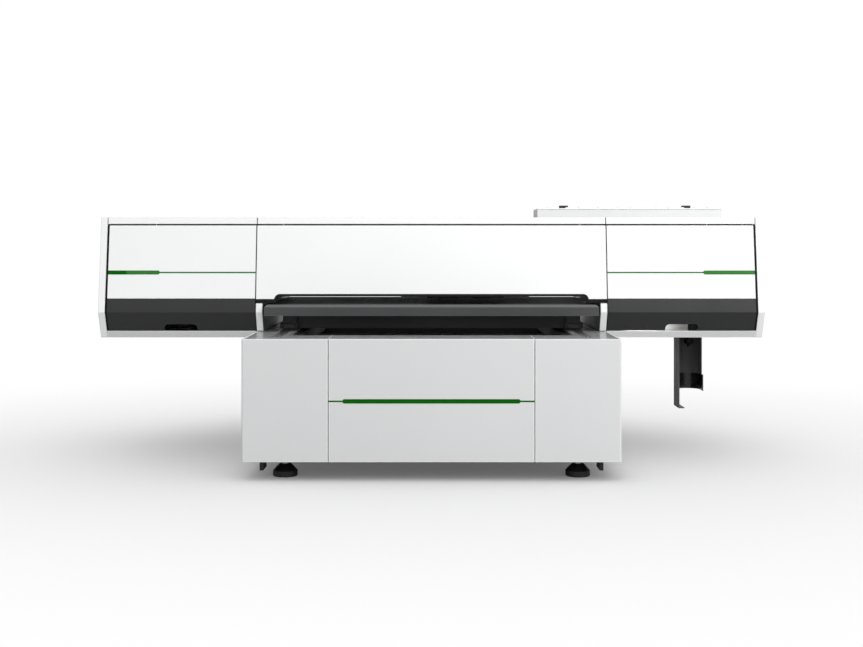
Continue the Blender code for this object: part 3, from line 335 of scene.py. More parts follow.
def ink_plastic(name):
    """Semi-translucent polyethylene of the ink tank and the capping station."""
    recipe = Recipe(name, 0.38)
    cloud = recipe.remap(recipe.noise(12.0, detail=4.0), 0.3, 0.7, 0, 1)
    recipe.colour(recipe.mix(cloud, scaled(INK_WHITE, 0.93), INK_WHITE))
    recipe.feed(recipe.shader.inputs["Subsurface Weight"], 0.15)
    recipe.feed(recipe.shader.inputs["Subsurface Scale"], 0.004)
    recipe.feed(recipe.shader.inputs["Subsurface Radius"], (1.0, 1.0, 1.0))
    recipe.roughness(recipe.remap(recipe.noise(30.0), 0.3, 0.7, 0.30, 0.46))
    recipe.bump((recipe.noise(260.0, detail=3.0), 0.15, 0.0002))
    return recipe.material


def paint_light_by_facing(material, direction, colour, limit=0.5):
    """Gives the faces that look along an axis another colour: painted light and shade, which lightens the bed's
    chamfers and top and darkens the legs' and rear cover's inner faces, the ink box's left end and the tops of the
    covers.
    """
    tree = material.node_tree
    shader = tree.nodes["Principled BSDF"]
    old = shader.inputs["Base Color"].links[0].from_socket
    geometry = tree.nodes.new("ShaderNodeNewGeometry")
    dot = tree.nodes.new("ShaderNodeVectorMath")
    dot.operation = "DOT_PRODUCT"
    dot.inputs[1].default_value = direction
    tree.links.new(geometry.outputs["True Normal"], dot.inputs[0])
    step = tree.nodes.new("ShaderNodeMath")
    step.operation = "GREATER_THAN"
    step.inputs[1].default_value = limit
    tree.links.new(dot.outputs["Value"], step.inputs[0])
    mix = tree.nodes.new("ShaderNodeMix")
    mix.data_type = "RGBA"
    mix.inputs[7].default_value = (*colour, 1.0)
    tree.links.new(step.outputs[0], mix.inputs["Factor"])
    tree.links.new(old, mix.inputs[6])
    tree.links.new(mix.outputs[2], shader.inputs["Base Color"])
    return material


def make_finishes():
    """One material for each slot of the record, and a few for the fittings."""
    cross = (1.0, 0.05, 0.05)
    along_x = (0.03, 1.0, 1.0)
    along_y = (1.0, 0.03, 1.0)

    def white(name):
        # painted shade: the white finishes' edges are darker, in patches, within 2.6 mm
        return powder_coat(name, WHITE, 0.34, 0.16, scaled(WHITE, 0.55), 0.0026)

    bed_rim = anodised("table_paint", BED_GREY, 0.38, along_x, (0.22, 0.225, 0.23))
    # painted light: the chamfers take a lighter grey, and the top a lighter grey still
    bed_lit_chamfer = paint_light_by_facing(bed_rim, (0, 0, 1), BED_CHAMFER_PAINTED_LIGHT)
    holder = powder_coat("holder_paint", HOLDER_GREY, 0.50, 0.30, scaled(HOLDER_GREY, 1.8), 0.001)
    holder.node_tree.nodes["Principled BSDF"].inputs["Specular IOR Level"].default_value = 0.2
    # painted shade: the ink box takes a darker white than the doors, with darker edges in patches
    ink_box = powder_coat("ink_box_shaded_paint", INK_BOX_SHADED_WHITE, 0.34, 0.16, scaled(INK_BOX_SHADED_WHITE, 0.60), 0.0026)
    return {
        "white_paint": white("white_paint"),
        # painted shade: the rear cover's faces that look forward, into the housing, are black
        "inside_shaded_paint": paint_light_by_facing(white("inside_shaded_paint"), (0, -1, 0), FRAME_AND_SHADE_BLACK),
        # painted shade: the legs' faces that look towards the middle are dark grey
        "left_leg_shaded_paint": paint_light_by_facing(white("left_leg_shaded_paint"), (1, 0, 0), LEG_INNER_PAINTED_SHADE),
        "right_leg_shaded_paint": paint_light_by_facing(white("right_leg_shaded_paint"), (-1, 0, 0), LEG_INNER_PAINTED_SHADE),
        # painted shade: the ink box's left end is grey
        "ink_box_shaded_paint": paint_light_by_facing(ink_box, (-1, 0, 0), INK_BOX_END_PAINTED_SHADE),
        # painted highlight: the cabinet's edges turn near-white, in patches, within 6 mm
        "cabinet_paint": powder_coat("cabinet_paint", CABINET_GREY, 0.40, 0.22, (0.92, 0.92, 0.92), 0.006),
        "plate_gloss": gloss_plate("plate_gloss", PLATE_GREY),
        "dark_paint": powder_coat("dark_paint", BAND_GREY, 0.36, 0.30, scaled(BAND_GREY, 2.0), 0.0015, 0.10),
        # painted light: the bed's top is a lighter grey
        "table_paint": paint_light_by_facing(bed_lit_chamfer, (0, 0, 1), BED_TOP_PAINTED_LIGHT, 0.9),
        "undercarriage_paint": powder_coat("undercarriage_paint", UNDERCARRIAGE_GREY, 0.48, 0.45),
        "bearing_steel": anodised("bearing_steel", BEARING_GREY, 0.42, cross, (0.2, 0.2, 0.2)),
        "black_plastic": moulded_plastic("black_plastic", BLACK, 0.42),
        "frame_steel": powder_coat("frame_steel", FRAME_AND_SHADE_BLACK, 0.48, 0.45, scaled(FRAME_AND_SHADE_BLACK, 2.5), 0.0015, 0.15),
        "bright_steel": brushed_metal("bright_steel", STEEL, 0.28, along_y),
        "rail_steel": brushed_metal("rail_steel", STEEL, 0.24, along_x),
        "aluminium": brushed_metal("aluminium", ALUMINIUM, 0.34, along_x),
        "head_metal": anodised("head_metal", HEAD_GREY, 0.36, cross, (0.35, 0.36, 0.38)),
        "holder_paint": holder,
        # painted shade: the faces that look up take the darker white
        "top_shaded_paint": paint_light_by_facing(white("top_shaded_paint"), (0, 0, 1), TOP_PAINTED_SHADE_WHITE, 0.9),
        "belt_rubber": toothed_belt("belt_rubber"),
        "ink_plastic": ink_plastic("ink_plastic"),
        "film": vinyl_film("film", GREEN, DEEP_GREEN),
        "deep_film": vinyl_film("deep_film", DEEP_GREEN, scaled(DEEP_GREEN, 0.7), 0.06),
        "seal": rubber("seal", (0.003, 0.003, 0.003)),
        "hose": moulded_plastic("hose", (0.03, 0.03, 0.032), 0.30, 0.05),
        # painted shade inside the waste holder's hoop
        "hoop_shade_gloss": gloss_plate("hoop_shade_gloss", (0.004, 0.004, 0.004)),
        "lamp_glass": gloss_plate("lamp_glass", (0.010, 0.006, 0.020)),
        "screw": brushed_metal("screw", (0.42, 0.42, 0.43), 0.30, (1, 1, 1)),
        "dark_screw": moulded_plastic("dark_screw", (0.02, 0.02, 0.021), 0.30, 0.1),
    }


# ---------------------------------------------------------------- mesh helpers


def new_piece(name, bm, material, body, smooth_angle=35):
    """Turns the bmesh into a piece that rides on a body. Its points are in the CAD frame."""
    bmesh.ops.recalc_face_normals(bm, faces=bm.faces)
    mesh = bpy.data.meshes.new(name)
    bm.to_mesh(mesh)
    bm.free()
    mesh.shade_smooth()
    mesh.set_sharp_from_angle(angle=math.radians(smooth_angle))
    mesh.materials.append(material)
    piece = bpy.data.objects.new(name, mesh)
    bpy.context.scene.collection.objects.link(piece)
    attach(piece, body)
    return piece


def add_box(bm, low, high, bevel=0.0, segments=2):
    """A box with rounded edges, added to the bmesh."""
    low, high = Vector(low), Vector(high)
    made = bmesh.ops.create_cube(bm, size=1.0)["verts"]
    bmesh.ops.scale(bm, vec=high - low, verts=made)
    bmesh.ops.translate(bm, vec=(low + high) / 2, verts=made)
    if bevel:
        edges = list({edge for vert in made for edge in vert.link_edges})
        bmesh.ops.bevel(bm, geom=edges, offset=bevel, segments=segments, affect="EDGES", profile=0.6)


def add_turned(bm, profile, centre, axis, segments=20):
    """A turned solid of (radius, height) pairs; heights run from centre along axis."""
    turn = Vector((0, 0, 1)).rotation_difference(Vector(axis)).to_matrix()
    rings = []
    for radius, height in profile:
        ring = []
        for step in range(segments):
            angle = math.tau * step / segments
            point = Vector((radius * math.cos(angle), radius * math.sin(angle), height))
            ring.append(bm.verts.new(turn @ point + Vector(centre)))
        rings.append(ring)
    for lower, upper in zip(rings, rings[1:]):
        for step in range(segments):
            nxt = (step + 1) % segments
            bm.faces.new((lower[step], lower[nxt], upper[nxt], upper[step]))
    bm.faces.new(list(reversed(rings[0])))
    bm.faces.new(rings[-1])


def add_prism(bm, outline, place, travel):
    """Extrudes an outline; place turns one of its pairs into a point."""
    face = bm.faces.new([bm.verts.new(place(a, b)) for a, b in outline])
    swept = bmesh.ops.extrude_face_region(bm, geom=[face], use_keep_orig=True)
    moved = [item for item in swept["geom"] if isinstance(item, bmesh.types.BMVert)]
    bmesh.ops.translate(bm, verts=moved, vec=travel)


def add_cap_screw(bm, centre, axis, radius=0.0042, height=0.003):
    """Button head with a hexagon socket, standing on a face."""
    socket = radius * 0.48
    profile = [
        (radius, 0.0),
        (radius, height * 0.35),
        (radius * 0.86, height * 0.80),
        (radius * 0.60, height),
        (socket, height),
    ]
    turn = Vector((0, 0, 1)).rotation_difference(Vector(axis)).to_matrix()
    segments = 18
    rings = []
    for r, h in profile[:-1] + [(socket, height), (socket, height * 0.45)]:
        ring = []
        for step in range(segments):
            angle = math.tau * step / segments
            local = r
            if r == socket:
                # a hexagon drawn through the ring's points
                local = r * math.cos(math.pi / 6) / math.cos((angle % (math.pi / 3)) - math.pi / 6)
            point = Vector((local * math.cos(angle), local * math.sin(angle), h))
            ring.append(bm.verts.new(turn @ point + Vector(centre)))
        rings.append(ring)
    for lower, upper in zip(rings, rings[1:]):
        for step in range(segments):
            nxt = (step + 1) % segments
            bm.faces.new((lower[step], lower[nxt], upper[nxt], upper[step]))
    bm.faces.new(list(reversed(rings[0])))
    bm.faces.new(rings[-1])


def arc(centre, radius, start_deg, end_deg, steps=8):
    angles = [math.radians(start_deg + (end_deg - start_deg) * i / steps) for i in range(steps + 1)]
    return [(centre[0] + radius * math.cos(a), centre[1] + radius * math.sin(a)) for a in angles]


# ---------------------------------------------------------------- CAD nodes


def refine(name, material, bevel=0.0, segments=2):
    """Gives a CAD node its finish, and rounds its edges with modifiers."""
    node = nodes[name]
    mesh = node.data
    if "custom_normal" in mesh.attributes:
        mesh.attributes.remove(mesh.attributes["custom_normal"])
    mesh.shade_smooth()
    mesh.materials.clear()
    mesh.materials.append(material)
    weld = node.modifiers.new("weld", "WELD")
    weld.merge_threshold = 1e-5
    if bevel:
        rounding = node.modifiers.new("rounding", "BEVEL")
        rounding.width = bevel
        rounding.segments = segments
        rounding.limit_method = "ANGLE"
        rounding.angle_limit = math.radians(32)
        rounding.use_clamp_overlap = True
    split = node.modifiers.new("crisp", "EDGE_SPLIT")
    split.split_angle = math.radians(32)
    split.use_edge_sharp = False
    node.modifiers.new("flat_faces", "WEIGHTED_NORMAL").weight = 100


def refine_nodes(finishes):
    """Every CAD node takes its slot's finish; a few differ from their slot in the detail, several of them by
    painted light and shade on the faces that look one way.
    """
    slots = {part["node"]: part["material_slot"] for part in frame["record"]["subparts"]}
    special = {
        "rear_cover": "inside_shaded_paint",
        "beam_rail": "rail_steel",
        "waste_bottle_holder": "holder_paint",
        "left_gantry_leg": "left_leg_shaded_paint",
        "right_gantry_leg": "right_leg_shaded_paint",
        "ink_box": "ink_box_shaded_paint",
        "undercarriage": "undercarriage_paint",
        "left_top_cover": "top_shaded_paint",
        "centre_top_cover": "top_shaded_paint",
        "right_top_cover": "top_shaded_paint",
        "left_end_cap": "top_shaded_paint",
        "right_end_cap": "top_shaded_paint",
        "ink_box_lid": "top_shaded_paint",
    }
    for end in ENDS:
        for side, _ in SIDES:
            special[end + "_" + side + "_bearing"] = "bearing_steel"
    bevels = {
        "left_top_cover": 0.0012,
        "centre_top_cover": 0.0012,
        "right_top_cover": 0.0012,
        "left_pod_tray": 0.0010,
        "left_door_lower_panel": 0.0008,
        "right_door_lower_panel": 0.0008,
        "ink_box": 0.0012,
        "waste_bottle_holder": 0.0005,
        "carriage_plate": 0.0008,
    }
    for name in nodes:
        refine(name, finishes[special.get(name, slots[name])], bevels.get(name, 0.0))


# ---------------------------------------------------------------- housing


def front_line():
    """Two points (y, z) of the doors' sloping front face."""
    door = min((v.co for v in nodes["left_door"].data.vertices), key=lambda p: p.y)
    lip = min((v.co for v in nodes["centre_top_cover"].data.vertices), key=lambda p: p.y)
    return (door.y, door.z), (lip.y, lip.z)


def front_y(z):
    (low_y, low_z), (high_y, high_z) = front_line()
    return low_y + (high_y - low_y) * (z - low_z) / (high_z - low_z)


def nose_line(side):
    """Two points (y, z) of the lower panel's front: on the nose line and on its lowest edge."""
    points = [v.co for v in nodes[side + "_door_lower_panel"].data.vertices]
    nose = min(points, key=lambda p: p.y)
    lowest = min(p.z for p in points)
    foot = min((p for p in points if p.z < lowest + 1e-4), key=lambda p: p.y)
    return (nose.y, nose.z), (foot.y, foot.z)


def stripe_outline(inner, outer, tip, sign):
    """A thin line from inner to tip that widens with cut corners into a thick bar up to outer."""
    thin, thick = THIN_STRIPE / 2, THICK_STRIPE / 2
    slant = thick - thin
    upper = [(inner, thin), (tip - slant, thin), (tip, thick), (outer, thick)]
    outline = upper + [(x, -z) for x, z in reversed(upper)]
    return [(sign * x, z) for x, z in outline]


def door_stripes(finishes):
    for side, sign in SIDES:
        low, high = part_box(side + "_door")
        inner = min(abs(low.x), abs(high.x))
        outer = max(abs(low.x), abs(high.x))
        bm = bmesh.new()
        outline = stripe_outline(inner, outer, DOOR_STRIPE_TIP_X, sign)
        add_prism(
            bm,
            outline,
            lambda x, z: (x, front_y(DOOR_STRIPE_Z + z) - 0.00005, DOOR_STRIPE_Z + z),
            (0, -FILM, 0),
        )
        new_piece(side + "_door_stripe", bm, finishes["film"], side + "_door")
    low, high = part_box("left_door")
    bm = bmesh.new()
    half = THICK_STRIPE / 2
    end = low.x + 0.055
    outline = [(low.x, -half), (end, -half), (end, half), (low.x, half)]
    add_prism(
        bm,
        outline,
        lambda x, z: (x, front_y(DOOR_STRIPE_Z + z) - FILM - 0.00010, DOOR_STRIPE_Z + z),
        (0, -FILM / 2, 0),
    )
    new_piece("left_door_stripe_end", bm, finishes["deep_film"], "left_door")


def base_stripe(finishes):
    """A thick bar between two thin lines, across the middle panel of the cabinet's front."""
    low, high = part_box("front_centre_panel")
    thin, thick = THIN_STRIPE / 2, THICK_STRIPE / 2
    right = [
        (high.x, -thin),
        (high.x, thin),
        (BASE_STRIPE_HALF + thick - thin, thin),
        (BASE_STRIPE_HALF, thick),
    ]
    upper = right + [(-x, z) for x, z in reversed(right[1:])]
    lower = [(x, -z) for x, z in reversed(upper) if abs(x) < high.x]
    bm = bmesh.new()
    outline = upper + [(-high.x, -thin)] + lower
    add_prism(bm, outline, lambda x, z: (x, low.y - 0.00005, BASE_STRIPE_Z + z), (0, -FILM, 0))
    new_piece("base_stripe", bm, finishes["deep_film"], "base")


def cover_seal(finishes):
    """Rubber edge strip round the centre cover's notch."""
    cover_low, cover_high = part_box("centre_cover")
    points = [v.co for v in nodes["centre_cover"].data.vertices]
    notch_half = max(abs(p.x) for p in points if abs(p.z - cover_low.z) < 1e-4 and abs(p.x) < 0.5)
    notch_top = min(p.z for p in points if abs(p.x) < notch_half - 0.01)
    radius = NOTCH_RADIUS
    centres = ((notch_half - radius, notch_top - radius), (radius - notch_half, notch_top - radius))
    skirt = cover_low.z - SEAL_SKIRT
    lap_z = cover_low.z + SEAL_LAP
    edge = cover_high.x - 0.0005
    outer = [(edge, lap_z), (notch_half + SEAL_LAP, lap_z)]
    outer += arc(centres[0], radius + SEAL_LAP, 0, 90)
    outer += arc(centres[1], radius + SEAL_LAP, 90, 180)
    outer += [(-notch_half - SEAL_LAP, lap_z), (-edge, lap_z)]
    inner = [(-edge, skirt), (-notch_half + SEAL_DROP, skirt)]
    inner += arc(centres[1], radius - SEAL_DROP, 180, 90)
    inner += arc(centres[0], radius - SEAL_DROP, 90, 0)
    inner += [(notch_half - SEAL_DROP, skirt), (edge, skirt)]
    bm = bmesh.new()
    add_prism(bm, outer + inner, lambda x, z: (x, front_y(z) - SEAL_PROUD, z), (0, SEAL_DEPTH, 0))
    new_piece("cover_seal", bm, finishes["seal"], "centre_cover")


def lower_front(top_z):
    """The housing's front as (y, z) points: the lower panel's foot, the nose and the slope above."""
    nose, foot = nose_line("right")
    return [foot, nose, (front_y(top_z), top_z)]


def door_gaskets(finishes):
    """Black strips on the end caps, where the doors' outer edges close."""
    door_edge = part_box("right_door")[1].x + 0.0004
    cap_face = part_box("right_end_cap")[0].x - 0.0002
    front = lower_front(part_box("right_door")[1].z)
    outline = [(y + GASKET_SINK, z) for y, z in front] + [(y + 0.016, z) for y, z in reversed(front)]
    for side, sign in SIDES:
        bm = bmesh.new()
        add_prism(bm, outline, lambda y, z: (sign * door_edge, y, z), (sign * (cap_face - door_edge), 0, 0))
        new_piece(side + "_door_gasket", bm, finishes["seal"], "base")


def seam_seals(finishes):
    """Black lips that fill the joints between the covers, just behind the paint."""
    cover_low, cover_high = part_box("centre_cover")
    door_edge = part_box("right_door")[0].x
    rise = (cover_high.z - SEAL_SINK) - cover_low.z
    bm = bmesh.new()
    for sign in (-1, 1):
        outline = [(front_y(z) + SEAL_SINK, z) for z in (cover_low.z, cover_low.z + rise)]
        outline += [(y + SEAL_DEPTH * 0.8, z) for y, z in reversed(outline)]
        start, end = cover_high.x + 0.0002, door_edge - 0.0002
        add_prism(bm, outline, lambda y, z: (sign * start, y, z), (sign * (end - start), 0, 0))
    new_piece("cover_seam_seals", bm, finishes["seal"], "centre_cover")
    lip_low, lip_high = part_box("centre_top_cover")
    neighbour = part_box("right_top_cover")[0].x
    corner = 0.0186
    bm = bmesh.new()
    for sign in (-1, 1):
        top = lip_high.z - SEAL_SINK
        outline = [(front_y(lip_low.z) + SEAL_SINK, lip_low.z), (front_y(lip_high.z) + SEAL_SINK, top)]
        outline += [(lip_high.y - corner, top), (lip_high.y - corner, top - 0.003)]
        outline += [(front_y(lip_high.z) + 0.004, top - 0.003), (front_y(lip_low.z) + 0.004, lip_low.z)]
        start, end = lip_high.x + 0.0002, neighbour - 0.0002
        add_prism(bm, outline, lambda y, z: (sign * start, y, z), (sign * (end - start), 0, 0))
        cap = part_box("right_end_cap")[0].x
        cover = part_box("right_top_cover")[1].x
        front = [(front_y(lip_low.z) + SEAL_SINK, lip_low.z), (front_y(lip_high.z) + SEAL_SINK, top)]
        front += [(y + 0.003, z) for y, z in reversed(front)]
        add_prism(bm, front, lambda y, z: (sign * (cover + 0.0001), y, z), (sign * (cap - cover - 0.0002), 0, 0))
    new_piece("top_seam_seals", bm, finishes["seal"], "base")
    panel_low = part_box("right_door_lower_panel")[0]
    leg_low, leg_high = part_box("right_gantry_leg")
    front = lower_front(leg_high.z)
    outline = [(y + 0.002, z) for y, z in front] + [(y + 0.012, z) for y, z in reversed(front)]
    bm = bmesh.new()
    for sign in (-1, 1):
        start, end = leg_high.x + 0.0001, panel_low.x - 0.0003
        add_prism(bm, outline, lambda y, z: (sign * start, y, z), (sign * (end - start), 0, 0))
    new_piece("leg_seals", bm, finishes["seal"], "base")


def nozzle_sleeve(finishes):
    """Black rubber sleeve over the drain nozzle under the right pod."""
    tray_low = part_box("right_pod_tray")[0]
    holder_low, holder_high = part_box("waste_bottle_holder")
    centre = ((holder_low.x + holder_high.x) / 2, (holder_low.y + holder_high.y) / 2, tray_low.z)
    profile = [
        (0.0026, -0.0006),
        (0.0050, 0.0000),
        (0.0050, 0.0052),
        (0.0136, 0.0118),
        (0.0136, 0.0360),
        (0.0146, 0.0366),
        (0.0146, 0.0379),
    ]
    bm = bmesh.new()
    add_turned(bm, profile, centre, (0, 0, 1), 28)
    new_piece("drain_nozzle_sleeve", bm, finishes["seal"], "base")


def holder_hoop(finishes):
    """Gloss black sheet inside the hoop band of the waste bottle holder: painted shade that darkens the hoop's
    inside.
    """
    low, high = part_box("waste_bottle_holder")
    reach = (high.x - low.x) / 2
    centre = (low.x + reach, high.y - reach)
    outer = [(high.x - HOOP_SHEET + 0.0002, low.y + 0.0005)] + arc(centre, reach - HOOP_SHEET + 0.0002, 0, 180)
    inner = arc(centre, reach - HOOP_SHEET - 0.0005, 180, 0) + [(high.x - HOOP_SHEET - 0.0005, low.y + 0.0005)]
    bm = bmesh.new()
    add_prism(bm, outer + inner, lambda x, y: (x, y, HOOP_LOW), (0, 0, HOOP_HIGH - HOOP_LOW))
    new_piece("holder_hoop_liner", bm, finishes["hoop_shade_gloss"], "base")


# ---------------------------------------------------------------- cabinet and bed


def plate_opening():
    """Front and rear Y of the top plate's opening, on the machine's middle plane."""
    inside = [v.co.y for v in nodes["base_top_plate"].data.vertices if abs(v.co.x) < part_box("right_table_rail")[0].x - 0.005]
    return min(inside), max(inside)


def plate_seams(finishes):
    """Shallow joints across the front margin of the top plate, in line with the panel seams."""
    plate_low, plate_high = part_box("base_top_plate")
    seam_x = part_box("front_centre_panel")[1].x + 0.001
    opening_front = plate_opening()[0]
    bm = bmesh.new()
    for sign in (-1, 1):
        x = sign * seam_x
        low = (x - 0.0007, plate_low.y + 0.001, plate_high.z - 0.0004)
        high = (x + 0.0007, opening_front - 0.001, plate_high.z + 0.0002)
        add_box(bm, low, high)
    new_piece("top_plate_seams", bm, finishes["cabinet_paint"], "base")


def rail_screws(finishes):
    """Screws sunk in the table rails, and a row along each ledge of the opening."""
    bm = bmesh.new()
    for side, sign in SIDES:
        low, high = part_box(side + "_table_rail")
        x = (low.x + high.x) / 2
        count = 15
        for i in range(count):
            y = low.y + (high.y - low.y) * (i + 0.5) / count
            add_turned(bm, [(0.0042, 0.0), (0.0042, 0.0002), (0.0036, 0.00035)], (x, y, high.z), (0, 0, 1), 14)
    new_piece("table_rail_screws", bm, finishes["dark_screw"], "base")
    bm = bmesh.new()
    plate_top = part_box("base_top_plate")[1].z
    for sign in (-1, 1):
        for i in range(9):
            y = -0.48 + 0.12 * i
            add_cap_screw(bm, (sign * 0.4195, y, plate_top), (0, 0, 1), 0.0036, 0.0024)
    new_piece("ledge_screws", bm, finishes["dark_screw"], "base")
    bm = bmesh.new()
    for x in (-0.45, -0.225, 0.0, 0.225, 0.45):
        add_cap_screw(bm, (x, 0.575, plate_top), (0, 0, 1), 0.0045, 0.0026)
    new_piece("top_plate_screws", bm, finishes["screw"], "base")


def bearing_seals(finishes):
    """Black end plates of the bearing blocks, wider than the steel and open at the bottom."""
    bm = bmesh.new()
    for end in ENDS:
        for side, sign in SIDES:
            low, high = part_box(end + "_" + side + "_bearing")
            x = (low.x + high.x) / 2
            narrow = (high.x - low.x) / 2 + 0.0002
            wide = narrow + 0.0082
            top = high.z + 0.0040
            outline = [
                (-wide, low.z + 0.0010),
                (-wide, top - 0.003),
                (-wide + 0.003, top),
                (-narrow, top),
                (-narrow, low.z + 0.0010),
            ]
            for flip in (-1, 1):
                for y, depth in ((low.y, -0.005), (high.y, 0.005)):
                    add_prism(
                        bm,
                        outline,
                        lambda a, b: (x + flip * a, y, b),
                        (0, depth, 0),
                    )
    new_piece("bearing_seals", bm, finishes["black_plastic"], "table")


def bed_holes(finishes):
    """The bed's suction holes: dark pits in shallow countersinks, on a regular grid."""
    low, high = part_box("vacuum_table")
    top = high.z
    bm = bmesh.new()
    columns = int((high.x - low.x - 2 * BED_HOLE_MARGIN) / BED_HOLE_PITCH)
    rows = int((high.y - low.y - 2 * BED_HOLE_MARGIN) / BED_HOLE_PITCH)
    for i in range(columns + 1):
        for j in range(rows + 1):
            x = (i - columns / 2) * BED_HOLE_PITCH
            y = (low.y + high.y) / 2 + (j - rows / 2) * BED_HOLE_PITCH
            add_turned(bm, [(BED_HOLE_RADIUS, 0.0), (BED_HOLE_RADIUS * 0.8, 0.00012)], (x, y, top), (0, 0, 1), 8)
    new_piece("bed_holes", bm, finishes["seal"], "table")


# ---------------------------------------------------------------- fittings round the sides and back


def add_flush_screw(bm, centre, axis, radius=0.0048):
    """Countersunk head, almost level with the sheet."""
    add_turned(bm, [(radius, 0.0), (radius, 0.00012), (radius * 0.9, 0.00025)], centre, axis, 18)


def spread(start, end, count):
    return [start + (end - start) * i / (count - 1) for i in range(count)]


def panel_screws(finishes):
    """Screws of the rear cover, the cabinet's side and rear panels, the end caps and the top covers."""
    bm = bmesh.new()
    low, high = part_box("rear_cover")
    for x in spread(low.x + 0.015, high.x - 0.015, 11):
        add_cap_screw(bm, (x, high.y, high.z - 0.014), (0, 1, 0), 0.0040, 0.0024)
    for side, sign in SIDES:
        for x in spread(0.560, high.x - 0.015, 4):
            add_cap_screw(bm, (sign * x, high.y, low.z + 0.014), (0, 1, 0), 0.0040, 0.0024)
        panel_low, panel_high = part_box("base_" + side + "_panel")
        face = sign * max(abs(panel_low.x), abs(panel_high.x))
        for z in (panel_low.z + 0.016, panel_high.z - 0.022):
            for y in spread(panel_low.y + 0.020, panel_high.y - 0.020, 6):
                add_cap_screw(bm, (face, y, z), (sign, 0, 0), 0.0040, 0.0024)
    for side in ("left", "centre", "right"):
        cover_low, cover_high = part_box(side + "_top_cover")
        for x in spread(cover_low.x + 0.030, cover_high.x - 0.030, 4):
            add_cap_screw(bm, (x, cover_high.y - 0.040, cover_high.z), (0, 0, 1), 0.0040, 0.0024)
    new_piece("panel_screws", bm, finishes["screw"], "base")
    bm = bmesh.new()
    low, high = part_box("base_rear_panel")
    for z in (low.z + 0.016, high.z - 0.022):
        for x in spread(low.x + 0.020, high.x - 0.020, 6):
            add_flush_screw(bm, (x, high.y, z), (0, 1, 0))
    for side, sign in SIDES:
        cap_low, cap_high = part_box(side + "_end_cap")
        face = sign * max(abs(cap_low.x), abs(cap_high.x))
        for y in (cap_low.y + 0.090, (cap_low.y + cap_high.y) / 2, cap_high.y - 0.040):
            for z in (cap_low.z + 0.040, cap_high.z - 0.040):
                add_flush_screw(bm, (face, y, z), (sign, 0, 0))
    new_piece("flush_screws", bm, finishes["dark_screw"], "base")


def louvres(finishes):
    """Pressed louvres with dark slots in the cabinet's sides and in the rear cover."""
    hoods, slots = bmesh.new(), bmesh.new()
    hood = [(0.0, 0.0), (0.0040, 0.0004), (0.0046, 0.0022), (0.0030, 0.0075), (0.0, 0.0105)]
    slot = [(0.0, -0.0030), (0.0003, -0.0030), (0.0003, 0.0002), (0.0, 0.0002)]
    for side, sign in SIDES:
        low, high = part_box("base_" + side + "_panel")
        face = sign * max(abs(low.x), abs(high.x))
        for z in spread(0.120, 0.228, 7):
            for outline, bm in ((hood, hoods), (slot, slots)):
                add_prism(bm, outline, lambda a, b: (face + sign * a, 0.280, z + b), (0, 0.160, 0))
    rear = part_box("rear_cover")[1].y
    for sign in (-1, 1):
        for z in spread(0.560, 0.632, 5):
            for outline, bm in ((hood, hoods), (slot, slots)):
                add_prism(bm, outline, lambda a, b: (sign * 0.760 - 0.070, rear + a, z + b), (0.140, 0, 0))
    new_piece("louvre_hoods", hoods, finishes["cabinet_paint"], "base")
    new_piece("louvre_slots", slots, finishes["seal"], "base")


def power_inlet(finishes):
    """Flanged mains socket and rocker switch, low at the back of the cabinet's left side."""
    low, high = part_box("base_left_panel")
    y, z = high.y - 0.110, low.z + 0.075
    face = low.x
    bm = bmesh.new()
    add_box(bm, (face - 0.003, y - 0.030, z - 0.024), (face, y + 0.030, z + 0.024), 0.0012)
    for start, end in ((-0.024, 0.004), (0.008, 0.024)):
        for rim_low, rim_high in (
            ((start, -0.016), (start + 0.002, 0.016)),
            ((end - 0.002, -0.016), (end, 0.016)),
            ((start + 0.002, 0.014), (end - 0.002, 0.016)),
            ((start + 0.002, -0.016), (end - 0.002, -0.014)),
        ):
            corner = (face - 0.006, y + rim_low[0], z + rim_low[1])
            add_box(bm, corner, (face - 0.003, y + rim_high[0], z + rim_high[1]), 0.0004, 1)
    add_box(bm, (face - 0.0075, y + 0.0105, z - 0.0005), (face - 0.003, y + 0.0215, z + 0.0135), 0.0008)
    add_box(bm, (face - 0.0050, y + 0.0105, z - 0.0135), (face - 0.003, y + 0.0215, z - 0.0005), 0.0008)
    new_piece("power_inlet", bm, finishes["black_plastic"], "base")
    bm = bmesh.new()
    for offset, height in ((-0.0155, -0.003), (-0.0045, -0.003), (-0.0100, 0.004)):
        corner = (face - 0.0055, y + offset - 0.0010, z + height - 0.003)
        add_box(bm, corner, (face - 0.003, y + offset + 0.0010, z + height + 0.003), 0.0003, 1)
    for offset in (-0.0265, 0.0265):
        add_cap_screw(bm, (face - 0.003, y + offset, z + 0.0200), (-1, 0, 0), 0.0022, 0.0012)
    new_piece("power_inlet_pins", bm, finishes["screw"], "base")


def cover_ribs(finishes):
    """Folded stiffeners on the inner faces of the three front covers."""
    for name, count in (("left_door", 2), ("centre_cover", 4), ("right_door", 2)):
        low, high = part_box(name)
        bottom, top = low.z + 0.030, high.z - 0.040
        thick = 0.0122
        profile = [(front_y(z) + thick, z) for z in (bottom, top)]
        bm = bmesh.new()
        width = high.x - low.x
        for x in spread(low.x + width / (2 * count), high.x - width / (2 * count), count):
            for offset, half, depth in ((0.0, 0.030, 0.0010), (0.0, 0.018, 0.0075)):
                outline = profile + [(y + depth, z) for y, z in reversed(profile)]
                start = x + offset - half
                add_prism(bm, outline, lambda y, z: (start, y, z), (2 * half, 0, 0))
        new_piece(name + "_ribs", bm, finishes["cabinet_paint"], name)


# ---------------------------------------------------------------- beam, heads and ink


